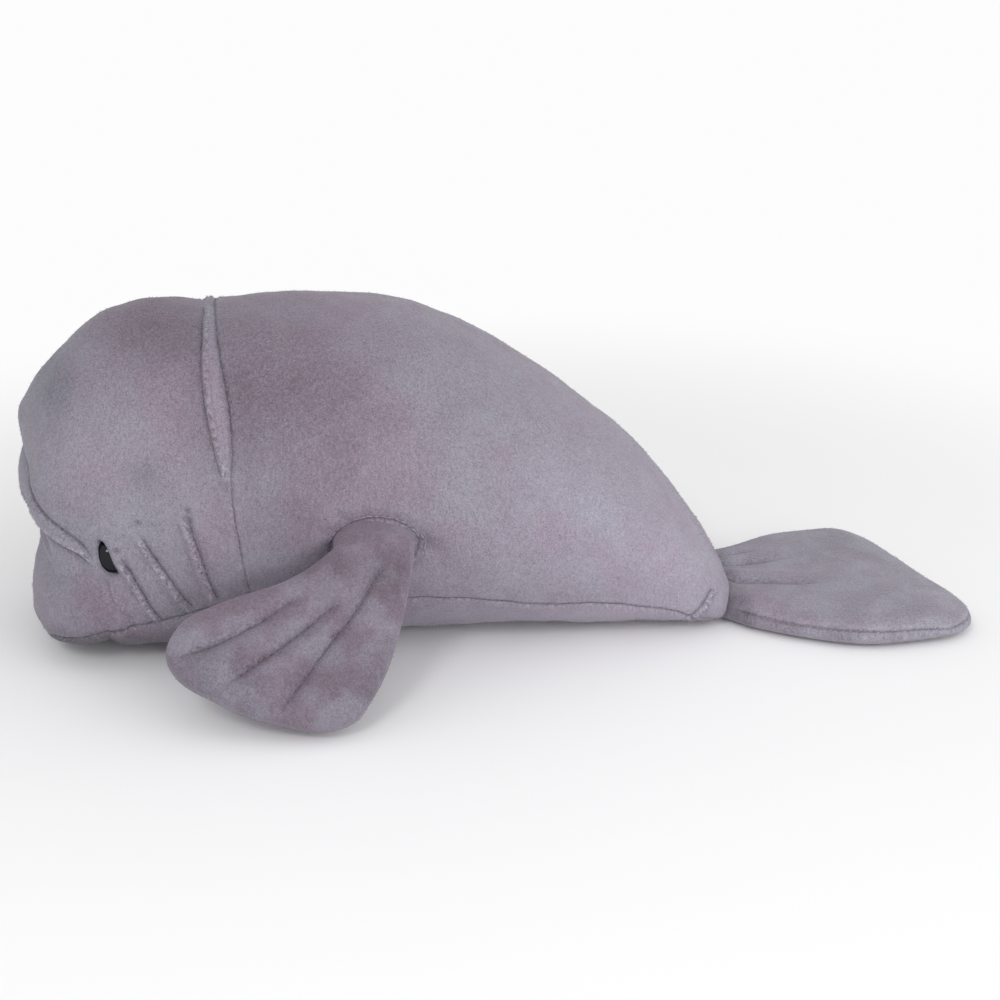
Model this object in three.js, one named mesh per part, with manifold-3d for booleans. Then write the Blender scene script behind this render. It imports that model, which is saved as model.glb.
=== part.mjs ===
// Plush manatee: a stuffed toy of short-pile fabric, sewn from panels over fibre filling.
// Millimetres, +Z up. The head points to -X, the tail to +X, and the toy's left side is -Y.
// The origin is on the floor, on the flat of the belly.

import * as THREE from 'three';
import { mergeVertices } from 'three/addons/utils/BufferGeometryUtils.js';
import Module from 'manifold-3d';

const wasm = await Module();
wasm.setup();

// Overall sizes
const NECK_X = -115;
const HEAD_LENGTH = 79;
const HEAD_HEIGHT = 136.5;
const HEAD_WIDTH = 113;
const BODY_LENGTH = 211;
const BODY_HEIGHT = 138;
const BODY_WIDTH = 130;
const MUZZLE_LENGTH = 46;
const MUZZLE_HEIGHT = 64;
const MUZZLE_WIDTH = 100;
const MUZZLE_SETBACK = 2;

// Fabric, seams and rest
const FABRIC = 2.2;
const SEAM_GAP = 0.3;
const FILL_GAP = 0.4;
const FLAT_CUT = 0.5;
const TOP_FULLNESS = 2.1;
const NECK_SEAM_BACK = 6.2;
const NECK_LEAN = 0.08;

// Folds and tucks sewn into the head panels
const TUCK_RADIUS = 1.9;
const FOLD_SINK = 0.35;

// Eyes
const EYE_AHEAD = 43.5;
const EYE_HEIGHT = 50;
const EYE_RADIUS = 6.8;
const EYE_DOME = 5.4;
const EYE_SINK = 2.4;
const SHANK_RADIUS = 1.8;
const SHANK_LENGTH = 11;
const WASHER_RADIUS = 8;
const WASHER_THICKNESS = 1.6;
const WASHER_DROP = 1.6;
const EYE_CLEARANCE = 0.3;

// Flippers
const FLIPPER_ROOT_BACK = 57.5;
const FLIPPER_ROOT_HEIGHT = 54.5;
const FLIPPER_ROOT_WIDTH = 31;
const FLIPPER_ROOT_RADIUS = 10;
const FLIPPER_SET_OUT = 4.2;
const FLIPPER_LENGTH = 72;
const FLIPPER_REACH = 76;
const FLIPPER_HALF_THICKNESS = 7.6;
const FLIPPER_SWELL = 9;
const FLIPPER_SWELL_RUN = 0.35;
const FLIPPER_DROOP = 46.5;
const FLIPPER_LOBES = 4;
const FLIPPER_EDGE = 13;
const FLIPPER_END = 16;
const GROOVE_DEPTH = 0.5;
const GROOVE_SHARPNESS = 6;
const GROOVE_RUNOUT = 6;
const GROOVE_START = 0.25;

// Tail
const TAIL_ROOT_Y = -4;
const TAIL_ROOT_Z = 8.4;
const TAIL_ROOT_RADIUS = 7.8;
const TAIL_ROOT_WIDTH = 56;
const TAIL_SET_OUT = 2.2;
const TAIL_LENGTH = 96;
const TAIL_WIDTH = 122;
const TAIL_SEAM_Z = 4.4;
const TAIL_TOP_HEIGHT = 9;
const TAIL_PLEATS = 4;
const PLEAT_DEPTH = 0.28;
const PLEAT_RUN = 0.42;
const TAIL_EDGE = 17;
const TAIL_END = 20;

// Rim of flippers and tail: half thickness at the edge, and the fabric turned in at the seam
const RIM = 1.3;
const SEAM_ALLOWANCE = 3;
const RIM_PULL = 5;
const MOST_PULL = 0.15;
const TIP_CROWDING = 1.5;

const JOINT_GAP = 0.45;
const FAR = 400;

// The size that the places of seams, folds, eyes and flipper roots are drawn for. They are graded
// with head and body, as a sewing pattern is.
const DRAWN_HEAD_LENGTH = 79;
const DRAWN_HEAD_HEIGHT = 136.5;
const DRAWN_BODY_LENGTH = 211;
const DRAWN_BODY_HEIGHT = 138;

// Cross-sections of head and body: [along, back, widest, belly, half width, fullness below].
// Along is a share of the length from the neck seam, the others are shares of height and half width.
const HEAD_SECTIONS = [
  [1.0, 0.61, 0.61, 0.61, 0, 2.2],
  [0.985, 0.7, 0.59, 0.5, 0.3, 2.2],
  [0.938, 0.745, 0.56, 0.43, 0.51, 2.2],
  [0.863, 0.81, 0.53, 0.31, 0.66, 2.3],
  [0.738, 0.885, 0.5, 0.09, 0.79, 2.9],
  [0.563, 0.967, 0.48, 0.005, 0.89, 3.6],
  [0.35, 1.0, 0.475, 0, 0.955, 3.5],
  [0.138, 1.002, 0.48, 0, 0.995, 3.0],
];
const BODY_SECTIONS = [
  [0.047, 0.995, 0.49, 0, 0.925, 2.4],
  [0.128, 1.0, 0.49, 0, 0.975, 2.25],
  [0.261, 0.985, 0.478, 0, 1.0, 2.2],
  [0.403, 0.945, 0.449, 0, 0.992, 2.2],
  [0.545, 0.845, 0.406, 0, 0.954, 2.3],
  [0.678, 0.705, 0.345, 0, 0.892, 2.6],
  [0.806, 0.525, 0.265, 0, 0.815, 3.1],
  [0.905, 0.335, 0.175, 0, 0.723, 3.6],
  [0.967, 0.19, 0.105, 0.004, 0.58, 3.6],
  [1.0, 0.084, 0.084, 0.084, 0, 3.0],
];
// The muzzle's along runs back from its front end.
const MUZZLE_SECTIONS = [
  [0, 0.33, 0.33, 0.33, 0, 2.2],
  [0.02, 0.48, 0.34, 0.18, 0.4, 2.2],
  [0.075, 0.63, 0.36, 0.09, 0.62, 2.3],
  [0.165, 0.79, 0.4, 0.015, 0.79, 2.4],
  [0.31, 0.93, 0.43, 0, 0.9, 2.5],
  [0.5, 1.0, 0.44, 0, 0.97, 2.5],
  [0.7, 0.97, 0.44, 0, 1.0, 2.6],
  [0.87, 0.81, 0.42, 0.02, 0.88, 2.5],
  [1.0, 0.42, 0.42, 0.42, 0, 2.2],
];

// Height of the seam round the underside, front to back: [behind the neck, height].
const UNDER_SEAM = [[-82, 9], [-65, 13.5], [-45, 18], [-23, 23], [-3, 29], [15, 30],
  [74, 28.7], [90, 28], [122, 22], [155, 19], [178, 13.5], [190, 7], [201, 3.5], [215, 2.5]];

// Folds on the head in side view: [behind the neck, height, radius] along each ridge.
const NECK_FOLD = [[-0.7, 134, 1.4], [-0.3, 122, 3.2], [0.6, 110, 3.7], [2.1, 100, 3.5],
  [3.8, 90, 2.3], [5, 83, 1]];
const BROW_FRONT = [-66.4, 60.3, 7.2];
const BROW_SIDE = [[-70.8, 64.6, 5.2], [-68, 64, 3.6], [-61.5, 59.5, 2.6], [-55.5, 55.5, 2.3],
  [-50.5, 51.5, 1.4]];
const CHEEK_TUCKS = [
  [[-36.5, 50.5], [-29.7, 37.6], [-19, 23.5]],
  [[-29.3, 60.5], [-20.9, 45.8], [-11.8, 28.5]],
  [[-11.9, 69], [-7, 54], [-2.4, 33]],
];

// Flipper ribs from the front edge to the rear edge: [forward, out] shares of reach and length.
const FLIPPER_RIBS = [
  [[0.165, 0], [0.46, 0.15], [0.76, 0.23], [1.0, 0.36]],
  [[0.1, 0.01], [0.4, 0.26], [0.68, 0.42], [0.985, 0.565]],
  [[0.01, 0.02], [0.18, 0.27], [0.45, 0.51], [0.84, 0.77]],
  [[-0.08, 0.01], [0.05, 0.3], [0.22, 0.6], [0.56, 0.95]],
  [[-0.165, 0], [-0.15, 0.34], [-0.05, 0.68], [0.2, 0.955]],
];
// Tail ribs from the left edge to the right: [back, right] shares of length and half width.
// The paddle lies flopped a little to the left, and its left corner reaches further back.
const TAIL_RIBS = [
  [[0, -0.44], [0.12, -0.88], [0.46, -1.18], [0.92, -1.08]],
  [[0, -0.25], [0.29, -0.6], [0.6, -0.74], [0.955, -0.76]],
  [[0, -0.05], [0.3, -0.14], [0.59, -0.2], [0.875, -0.23]],
  [[0, 0.15], [0.28, 0.25], [0.55, 0.27], [0.81, 0.25]],
  [[0, 0.34], [0.16, 0.52], [0.41, 0.66], [0.72, 0.59]],
];

// Booleans

function solidOf(geometry) {
  const bare = geometry.clone();
  bare.deleteAttribute('normal');
  bare.deleteAttribute('uv');
  const merged = mergeVertices(bare, 1e-4);
  const mesh = new wasm.Mesh({
    numProp: 3,
    vertProperties: new Float32Array(merged.attributes.position.array),
    triVerts: new Uint32Array(merged.index.array),
  });
  return new wasm.Manifold(mesh);
}

function geometryOf(solid) {
  const mesh = solid.getMesh();
  const geometry = new THREE.BufferGeometry();
  geometry.setAttribute('position', new THREE.BufferAttribute(mesh.vertProperties, 3));
  geometry.setIndex(new THREE.BufferAttribute(mesh.triVerts, 1));
  geometry.computeVertexNormals();
  return geometry;
}

function block(x0, x1, y0, y1, z0, z1) {
  const box = new THREE.BoxGeometry(x1 - x0, y1 - y0, z1 - z0);
  box.translate((x0 + x1) / 2, (y0 + y1) / 2, (z0 + z1) / 2);
  return solidOf(box);
}

// Meshes made of rings or grids

function geometryFrom(points, triangles) {
  const geometry = new THREE.BufferGeometry();
  const flat = points.flatMap((p) => [p.x, p.y, p.z]);
  geometry.setAttribute('position', new THREE.Float32BufferAttribute(flat, 3));
  geometry.setIndex(triangles);
  return geometry;
}

// Rings of equal count between two poles; each ring runs from the top round by -Y.
function skin(startPole, rings, endPole) {
  const count = rings[0].length;
  const points = [startPole, ...rings.flat(), endPole];
  const last = points.length - 1;
  const at = (ring, j) => 1 + ring * count + (j % count);
  const triangles = [];
  for (let j = 0; j < count; j += 1) {
    triangles.push(0, at(0, j + 1), at(0, j));
    triangles.push(last, at(rings.length - 1, j), at(rings.length - 1, j + 1));
    for (let ring = 0; ring < rings.length - 1; ring += 1) {
      triangles.push(at(ring, j), at(ring, j + 1), at(ring + 1, j + 1));
      triangles.push(at(ring, j), at(ring + 1, j + 1), at(ring + 1, j));
    }
  }
  return geometryFrom(points, triangles);
}

// A slab between an upper and a lower surface, each a function of across and along in 0..1.
function slab(upper, lower, acrossSteps, alongSteps) {
  const points = [];
  const triangles = [];
  const layer = (acrossSteps + 1) * (alongSteps + 1);
  for (const surface of [upper, lower]) {
    for (let i = 0; i <= alongSteps; i += 1) {
      for (let j = 0; j <= acrossSteps; j += 1) points.push(surface(j / acrossSteps, i / alongSteps));
    }
  }
  const at = (i, j) => i * (acrossSteps + 1) + j;
  const quad = (a, b, c, d) => triangles.push(a, c, b, a, d, c);
  for (let i = 0; i < alongSteps; i += 1) {
    for (let j = 0; j < acrossSteps; j += 1) {
      quad(at(i, j), at(i, j + 1), at(i + 1, j + 1), at(i + 1, j));
      quad(layer + at(i, j), layer + at(i + 1, j), layer + at(i + 1, j + 1), layer + at(i, j + 1));
    }
    quad(at(i, 0), at(i + 1, 0), layer + at(i + 1, 0), layer + at(i, 0));
    quad(at(i + 1, acrossSteps), at(i, acrossSteps), layer + at(i, acrossSteps),
      layer + at(i + 1, acrossSteps));
  }
  for (let j = 0; j < acrossSteps; j += 1) {
    quad(at(0, j + 1), at(0, j), layer + at(0, j), layer + at(0, j + 1));
    quad(at(alongSteps, j), at(alongSteps, j + 1), layer + at(alongSteps, j + 1),
      layer + at(alongSteps, j));
  }
  return geometryFrom(points, triangles);
}

// Stuffed forms lofted through cross-sections

function catmullRom(p0, p1, p2, p3, f) {
  return p1.map((_, k) => 0.5 * (2 * p1[k] + (p2[k] - p0[k]) * f
    + (2 * p0[k] - 5 * p1[k] + 4 * p2[k] - p3[k]) * f * f
    + (3 * p1[k] - p0[k] - 3 * p2[k] + p3[k]) * f * f * f));
}

// Past a pole the section goes on as its mirror image, which rounds the end.
function pastPole([x, back, widest, belly, half, full]) {
  return [x, belly, widest, back, -half, full];
}

function sectionAt(form, t) {
  const k = Math.min(Math.floor(t), form.length - 2);
  const before = k > 0 ? form[k - 1] : pastPole(form[1]);
  const after = k + 2 < form.length ? form[k + 2] : pastPole(form[form.length - 2]);
  return catmullRom(before, form[k], form[k + 1], after, t - k);
}

function onForm(form, t, turn) {
  const [x, back, widest, belly, half, full] = sectionAt(form, t);
  const angle = 2 * Math.PI * turn;
  const [side, rise] = [Math.sin(angle), Math.cos(angle)];
  const power = rise >= 0 ? TOP_FULLNESS : full;
  const reach = (Math.abs(side) ** power + Math.abs(rise) ** power) ** (-1 / power);
  const height = rise >= 0 ? back - widest : widest - belly;
  return new THREE.Vector3(x, -half * reach * side, widest + height * reach * rise);
}

// Point of the form moved out by lift along the surface normal.
function lifted(form, t, turn, lift) {
  const step = 0.01;
  const along = onForm(form, t + step, turn).sub(onForm(form, t - step, turn));
  const round = onForm(form, t, turn + step).sub(onForm(form, t, turn - step));
  const normal = round.cross(along).normalize();
  return onForm(form, t, turn).addScaledVector(normal, lift);
}

function stuffedForm(form, lift, perSection, roundSteps) {
  const rings = [];
  const steps = (form.length - 1) * perSection;
  for (let i = 1; i < steps; i += 1) {
    const ring = [];
    for (let j = 0; j < roundSteps; j += 1) ring.push(lifted(form, i / perSection, j / roundSteps, lift));
    rings.push(ring);
  }
  const start = onForm(form, 0, 0);
  const end = onForm(form, form.length - 1, 0);
  start.x -= lift;
  end.x += lift;
  return solidOf(skin(start, rings, end));
}

// Side of head or body at a place in side view: the point, and the normal there.
function flank(x, z, sign) {
  let [low, high] = [0, HULL.length - 1];
  while (high - low > 1e-6) {
    const middle = (low + high) / 2;
    if (sectionAt(HULL, middle)[0] < x) low = middle;
    else high = middle;
  }
  const [, back, widest, belly, half, full] = sectionAt(HULL, low);
  const power = z > widest ? TOP_FULLNESS : full;
  const share = Math.min(1, Math.abs(z - widest) / (z > widest ? back - widest : widest - belly));
  return new THREE.Vector3(x, sign * half * (1 - share ** power) ** (1 / power), z);
}

function flankNormal(x, z, sign) {
  const along = flank(x + 1, z, sign).sub(flank(x - 1, z, sign));
  const up = flank(x, z + 1, sign).sub(flank(x, z - 1, sign));
  return up.cross(along).multiplyScalar(sign).normalize();
}

const HULL = [
  ...HEAD_SECTIONS.map(([along, back, widest, belly, half, full]) => [
    NECK_X - along * HEAD_LENGTH, back * HEAD_HEIGHT, widest * HEAD_HEIGHT,
    belly * HEAD_HEIGHT - (belly === 0 ? FLAT_CUT : 0), half * HEAD_WIDTH / 2, full]),
  ...BODY_SECTIONS.map(([along, back, widest, belly, half, full]) => [
    NECK_X + along * BODY_LENGTH, back * BODY_HEIGHT, widest * BODY_HEIGHT,
    belly * BODY_HEIGHT - (belly === 0 ? FLAT_CUT : 0), half * BODY_WIDTH / 2, full]),
];
const MUZZLE_FRONT = NECK_X - HEAD_LENGTH + MUZZLE_SETBACK;
const MUZZLE = MUZZLE_SECTIONS.map(([along, back, widest, belly, half, full]) => [
  MUZZLE_FRONT + along * MUZZLE_LENGTH, back * MUZZLE_HEIGHT, widest * MUZZLE_HEIGHT,
  belly * MUZZLE_HEIGHT - (belly === 0 ? FLAT_CUT : 0), half * MUZZLE_WIDTH / 2, full]);

const SIDES = [['left', -1], ['right', 1]];
const HULL_STEPS = [2, 32];
const INNER_STEPS = [1, 24];
const MUZZLE_STEPS = [2, 24];
const MUZZLE_INNER_STEPS = [1, 20];

// Place drawn [behind the neck, height] on the drawn size, graded to this one: [x, z].
function graded([back, height]) {
  const [length, tall] = back < 0
    ? [HEAD_LENGTH / DRAWN_HEAD_LENGTH, HEAD_HEIGHT / DRAWN_HEAD_HEIGHT]
    : [BODY_LENGTH / DRAWN_BODY_LENGTH, BODY_HEIGHT / DRAWN_BODY_HEIGHT];
  return [NECK_X + back * length, height * tall];
}

const [EYE_X, EYE_Z] = graded([-EYE_AHEAD, EYE_HEIGHT]);
const [FLIPPER_ROOT_X, FLIPPER_ROOT_Z] = graded([FLIPPER_ROOT_BACK, FLIPPER_ROOT_HEIGHT]);
const [NECK_SEAM_X] = graded([NECK_SEAM_BACK, 0]);

// Regions that divide the skin into panels

const aboveFloor = block(-FAR, FAR, -FAR, FAR, 0, FAR);

function sideRegion(sign) {
  return sign < 0 ? block(-FAR, FAR, -FAR, -SEAM_GAP / 2, -FAR, FAR)
    : block(-FAR, FAR, SEAM_GAP / 2, FAR, -FAR, FAR);
}

// Everything in front of the neck seam, moved back by shift.
function frontRegion(shift) {
  const box = new THREE.BoxGeometry(FAR, FAR, FAR);
  box.translate(-FAR / 2 + shift, 0, 0);
  box.rotateY(-NECK_LEAN);
  box.translate(NECK_SEAM_X, 0, BODY_HEIGHT / 2);
  return solidOf(box);
}

// Everything below the underside seam, raised by shift.
function underRegion(shift) {
  const seam = UNDER_SEAM.map(graded).map(([x, z]) => new THREE.Vector2(x, z + shift));
  const shape = new THREE.Shape([
    new THREE.Vector2(-FAR, -FAR),
    new THREE.Vector2(FAR, -FAR),
    new THREE.Vector2(FAR, seam[seam.length - 1].y),
    ...[...seam].reverse(),
    new THREE.Vector2(-FAR, seam[0].y),
  ]);
  const prism = new THREE.ExtrudeGeometry(shape, { depth: FAR, bevelEnabled: false });
  prism.rotateX(Math.PI / 2);
  prism.translate(0, FAR / 2, 0);
  return solidOf(prism);
}

// Folds and tucks

// A roll through the places, with a radius at each; its ends close in a point.
function ridge(places, radii) {
  const curve = new THREE.CatmullRomCurve3(places);
  const steps = 2 * places.length + 2;
  const frames = curve.computeFrenetFrames(steps);
  const rings = [];
  for (let i = 1; i < steps; i += 1) {
    const [size] = ribPoint(radii.map((radius) => [radius]), i / steps);
    const centre = curve.getPoint(i / steps);
    rings.push([0, 1, 2, 3, 4, 5].map((k) => centre.clone()
      .addScaledVector(frames.normals[i], size * Math.cos(k * Math.PI / 3))
      .addScaledVector(frames.binormals[i], size * Math.sin(k * Math.PI / 3))));
  }
  return solidOf(skin(curve.getPoint(0), rings, curve.getPoint(1)));
}

// Places on the side of the head, each sunk by a share of its ridge's radius.
function flankPath(points, sign) {
  return points.map(([back, height, radius = TUCK_RADIUS]) => {
    const [x, z] = graded([back, height]);
    return flank(x, z, sign).addScaledVector(flankNormal(x, z, sign), -FOLD_SINK * radius);
  });
}

function flankRidge(points, sign) {
  return ridge(flankPath(points, sign), points.map(([, , radius = TUCK_RADIUS]) => radius));
}

// The brow roll runs across the front of the head from eye to eye.
function browRoll() {
  const [left, right] = SIDES.map(([, sign]) => flankPath(BROW_SIDE, sign));
  const [frontX, frontZ] = graded(BROW_FRONT);
  const front = new THREE.Vector3(frontX, 0, frontZ);
  const radii = BROW_SIDE.map(([, , radius]) => radius);
  return ridge([...left.reverse(), front, ...right], [...radii].reverse().concat(BROW_FRONT[2], radii));
}

function headFolds() {
  const folds = [browRoll()];
  for (const [, sign] of SIDES) {
    for (const path of [NECK_FOLD, ...CHEEK_TUCKS]) folds.push(flankRidge(path, sign));
  }
  return folds;
}

// Eyes: a domed button on a shank, held by a washer behind the fabric

function onEyeAxis(geometry, sign) {
  const normal = flankNormal(EYE_X, EYE_Z, sign);
  geometry.applyQuaternion(new THREE.Quaternion()
    .setFromUnitVectors(new THREE.Vector3(0, 1, 0), normal));
  const place = flank(EYE_X, EYE_Z, sign).addScaledVector(normal, -EYE_SINK);
  return geometry.translate(place.x, place.y, place.z);
}

// The button's half outline grown by room on every side.
function eyeGeometry(room) {
  const outline = [new THREE.Vector2(0, -SHANK_LENGTH - room)];
  outline.push(new THREE.Vector2(SHANK_RADIUS + room, -SHANK_LENGTH - room));
  outline.push(new THREE.Vector2(SHANK_RADIUS + room, -room));
  for (let k = 0; k <= 4; k += 1) {
    const angle = (k / 4) * Math.PI / 2;
    const radius = (EYE_RADIUS + room) * Math.cos(angle);
    const height = k === 0 ? -room : (EYE_DOME + room) * Math.sin(angle);
    outline.push(new THREE.Vector2(k === 4 ? 0 : radius, height));
  }
  return new THREE.LatheGeometry(outline, 16);
}

const WASHER_TOP = EYE_SINK - FABRIC - SEAM_GAP - WASHER_DROP;

function latheOf(outline) {
  return new THREE.LatheGeometry(outline.map(([r, h]) => new THREE.Vector2(r, h)), 16);
}

function washerGeometry() {
  const [bore, bottom] = [SHANK_RADIUS + EYE_CLEARANCE, WASHER_TOP - WASHER_THICKNESS];
  return latheOf([[bore, bottom], [WASHER_RADIUS, bottom], [WASHER_RADIUS, WASHER_TOP],
    [bore, WASHER_TOP], [bore, bottom]]);
}

// Pocket that the washer leaves in the filling, open to the fabric.
function washerPocket() {
  const bottom = WASHER_TOP - WASHER_THICKNESS - EYE_CLEARANCE;
  const rim = WASHER_RADIUS + EYE_CLEARANCE;
  return latheOf([[0, bottom], [rim, bottom], [rim, 0], [0, 0]]);
}

// Flippers and tail: pillows between ribs that run from root to outer edge

function ribPoint(rib, along) {
  const place = along * (rib.length - 1);
  const k = Math.min(Math.floor(place), rib.length - 2);
  const pick = (i) => rib[Math.max(0, Math.min(rib.length - 1, i))];
  return catmullRom(pick(k - 1), pick(k), pick(k + 1), pick(k + 2), place - k);
}

function planPoint(ribs, across, along) {
  return ribPoint(ribs.map((rib) => ribPoint(rib, along)), across);
}

// Share of full thickness, round at the rim: 0 on it and 1 from width inwards.
function roundEdge(distance, width) {
  const share = Math.min(1, Math.max(0, distance / width));
  return Math.sqrt(1 - (1 - share) ** 2);
}

// Steps crowd towards the outer edge, where the pillow rounds over.
function towardTip(share) {
  return 1 - (1 - share) ** TIP_CROWDING;
}

// Place in a plan whose rim is drawn in by the fabric and its seam allowance. The middle stays.
function inset(ribs, depth, across, along) {
  const [left, right] = [planPoint(ribs, 0, along), planPoint(ribs, 1, along)];
  const width = Math.hypot(left[0] - right[0], left[1] - right[1]);
  const [root, tip] = [planPoint(ribs, across, 0), planPoint(ribs, across, 1)];
  const length = Math.hypot(root[0] - tip[0], root[1] - tip[1]);
  const drawnIn = depth > 0 ? depth + SEAM_ALLOWANCE : 0;
  const pull = Math.min(MOST_PULL, drawnIn / width);
  const pulled = across + pull * ((1 - across) ** RIM_PULL - across ** RIM_PULL);
  return [pulled, (depth + along * (length - depth - drawnIn)) / length, width, length];
}

const FLIPPER_PLAN = FLIPPER_RIBS.map((rib) => rib.map(([forward, out]) => [
  -forward * FLIPPER_REACH, out * FLIPPER_LENGTH]));

function flipperHalf(across, along, width, length) {
  const edge = Math.min(across, 1 - across) * width;
  const rim = roundEdge(edge, FLIPPER_EDGE) * roundEdge((1 - along) * length, FLIPPER_END);
  const line = Math.abs(Math.cos(Math.PI * across * FLIPPER_LOBES)) ** GROOVE_SHARPNESS;
  const fade = Math.min(1, edge / GROOVE_RUNOUT) * Math.min(1, along / GROOVE_START);
  const full = THREE.MathUtils.lerp(FLIPPER_SWELL, FLIPPER_HALF_THICKNESS,
    Math.min(1, along / FLIPPER_SWELL_RUN));
  return RIM + (full - RIM) * rim * (1 - GROOVE_DEPTH * line * fade);
}

function flipperPillow(depth, acrossSteps, alongSteps) {
  const surface = (side) => (across, along) => {
    const [a, s, width, length] = inset(FLIPPER_PLAN, depth, across, towardTip(along));
    const [x, out] = planPoint(FLIPPER_PLAN, a, s);
    return new THREE.Vector3(x, -out, side * (flipperHalf(a, s, width, length) - depth));
  };
  return solidOf(slab(surface(1), surface(-1), acrossSteps, alongSteps));
}

// A rounded bar along X or Y that forms the sewn root of a limb.
function rootBar(radius, width, direction, steps) {
  const bar = new THREE.CapsuleGeometry(radius, width - 2 * radius, 3, steps);
  if (direction === 'x') bar.rotateZ(Math.PI / 2);
  return bar;
}

const BAR_SIDES = 12;
const FLIPPER_STEPS = [16, 8];
const FLIPPER_INNER_STEPS = [8, 6];

function flipperSolid(depth) {
  const [across, along] = depth > 0 ? FLIPPER_INNER_STEPS : FLIPPER_STEPS;
  const bar = rootBar(FLIPPER_ROOT_RADIUS - depth, FLIPPER_ROOT_WIDTH - 2 * depth, 'x', BAR_SIDES);
  return flipperPillow(depth, across, along).add(solidOf(bar));
}

// Places a left flipper's geometry on its side of the body.
function onFlank(geometry, sign) {
  geometry.rotateX(THREE.MathUtils.degToRad(FLIPPER_DROOP));
  const root = flank(FLIPPER_ROOT_X, FLIPPER_ROOT_Z, -1);
  geometry.translate(FLIPPER_ROOT_X, root.y - FLIPPER_SET_OUT, FLIPPER_ROOT_Z);
  return sign < 0 ? geometry : mirrored(geometry);
}

function mirrored(geometry) {
  geometry.scale(1, -1, 1);
  const index = geometry.index.array;
  for (let i = 0; i < index.length; i += 3) [index[i], index[i + 1]] = [index[i + 1], index[i]];
  return geometry;
}

const TAIL_ROOT_X = NECK_X + BODY_LENGTH + TAIL_SET_OUT;
const TAIL_PLAN = TAIL_RIBS.map((rib) => rib.map(([back, right]) => [
  back * TAIL_LENGTH, right * TAIL_WIDTH / 2]));

function tailRise(across, along, width, length) {
  const edge = Math.min(across, 1 - across) * width;
  const rim = roundEdge(edge, TAIL_EDGE) * roundEdge((1 - along) * length, TAIL_END);
  const fade = Math.max(0, 1 - along / PLEAT_RUN);
  const pleat = 1 - PLEAT_DEPTH * fade * Math.cos(Math.PI * across * TAIL_PLEATS) ** 2;
  return rim * pleat;
}

function tailPillow(depth, acrossSteps, alongSteps) {
  const surface = (side) => (across, along) => {
    const [a, s, width, length] = inset(TAIL_PLAN, depth, across, towardTip(along));
    const [x, y] = planPoint(TAIL_PLAN, a, s);
    const rise = tailRise(a, s, width, length);
    const full = side > 0 ? TAIL_TOP_HEIGHT : TAIL_SEAM_Z + FLAT_CUT;
    return new THREE.Vector3(x, y, side * (RIM + (full - RIM) * rise - depth));
  };
  return solidOf(slab(surface(1), surface(-1), acrossSteps, alongSteps)
    .translate(TAIL_ROOT_X, 0, TAIL_SEAM_Z));
}

const TAIL_STEPS = [16, 9];
const TAIL_INNER_STEPS = [8, 6];

function tailBar(radius, width) {
  const bar = rootBar(radius, width, 'y', BAR_SIDES);
  return solidOf(bar.translate(TAIL_ROOT_X, TAIL_ROOT_Y, TAIL_ROOT_Z));
}

function tailSolid(depth) {
  const [across, along] = depth > 0 ? TAIL_INNER_STEPS : TAIL_STEPS;
  const bar = tailBar(TAIL_ROOT_RADIUS - depth, TAIL_ROOT_WIDTH - 2 * depth);
  return tailPillow(depth, across, along).add(bar).intersect(aboveFloor);
}

// Build

const COLOURS = {
  head: 0x938d99, body: 0x968f9c, belly: 0x8f8897, muzzle: 0x837f8a, chin: 0x7f7681,
  flipper: 0x827c88, tail: 0x93919c, eye: 0x121214, washer: 0xe6e3db, stuffing: 0xf1eee8,
};

const manatee = new THREE.Group();
manatee.name = 'plush_manatee';

function addPiece(name, solid, colour, roughness = 0.95) {
  const material = new THREE.MeshStandardMaterial({ color: COLOURS[colour], roughness, metalness: 0 });
  const mesh = new THREE.Mesh(geometryOf(solid), material);
  mesh.name = name;
  manatee.add(mesh);
}

const CORE_DEPTH = FABRIC + FILL_GAP;

const hullOuter = stuffedForm(HULL, 0, ...HULL_STEPS).intersect(aboveFloor);
const hullInner = stuffedForm(HULL, -FABRIC, ...INNER_STEPS);
const hullCore = stuffedForm(HULL, -CORE_DEPTH, ...INNER_STEPS);
const muzzleOuter = stuffedForm(MUZZLE, 0, ...MUZZLE_STEPS).intersect(aboveFloor);
const muzzleInner = stuffedForm(MUZZLE, -FABRIC, ...MUZZLE_INNER_STEPS);
const muzzleCore = stuffedForm(MUZZLE, -CORE_DEPTH, ...MUZZLE_INNER_STEPS);
const muzzleRoom = stuffedForm(MUZZLE, SEAM_GAP, ...MUZZLE_STEPS);

const inFront = frontRegion(-SEAM_GAP / 2);
const notBehind = frontRegion(SEAM_GAP / 2);
const below = underRegion(-SEAM_GAP / 2);
const notAbove = underRegion(SEAM_GAP / 2);

const flipperRooms = SIDES.map(([, sign]) => solidOf(onFlank(
  rootBar(FLIPPER_ROOT_RADIUS + JOINT_GAP, FLIPPER_ROOT_WIDTH + 2 * JOINT_GAP, 'x', BAR_SIDES), sign)));
const tailRoom = tailBar(TAIL_ROOT_RADIUS + JOINT_GAP, TAIL_ROOT_WIDTH + 2 * JOINT_GAP);
const eyeRooms = SIDES.map(([, sign]) => solidOf(onEyeAxis(eyeGeometry(EYE_CLEARANCE), sign)));
const washerRooms = SIDES.map(([, sign]) => solidOf(onEyeAxis(washerPocket(), sign)));

function cutAll(solid, rooms) {
  return rooms.reduce((left, room) => left.subtract(room), solid);
}

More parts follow.
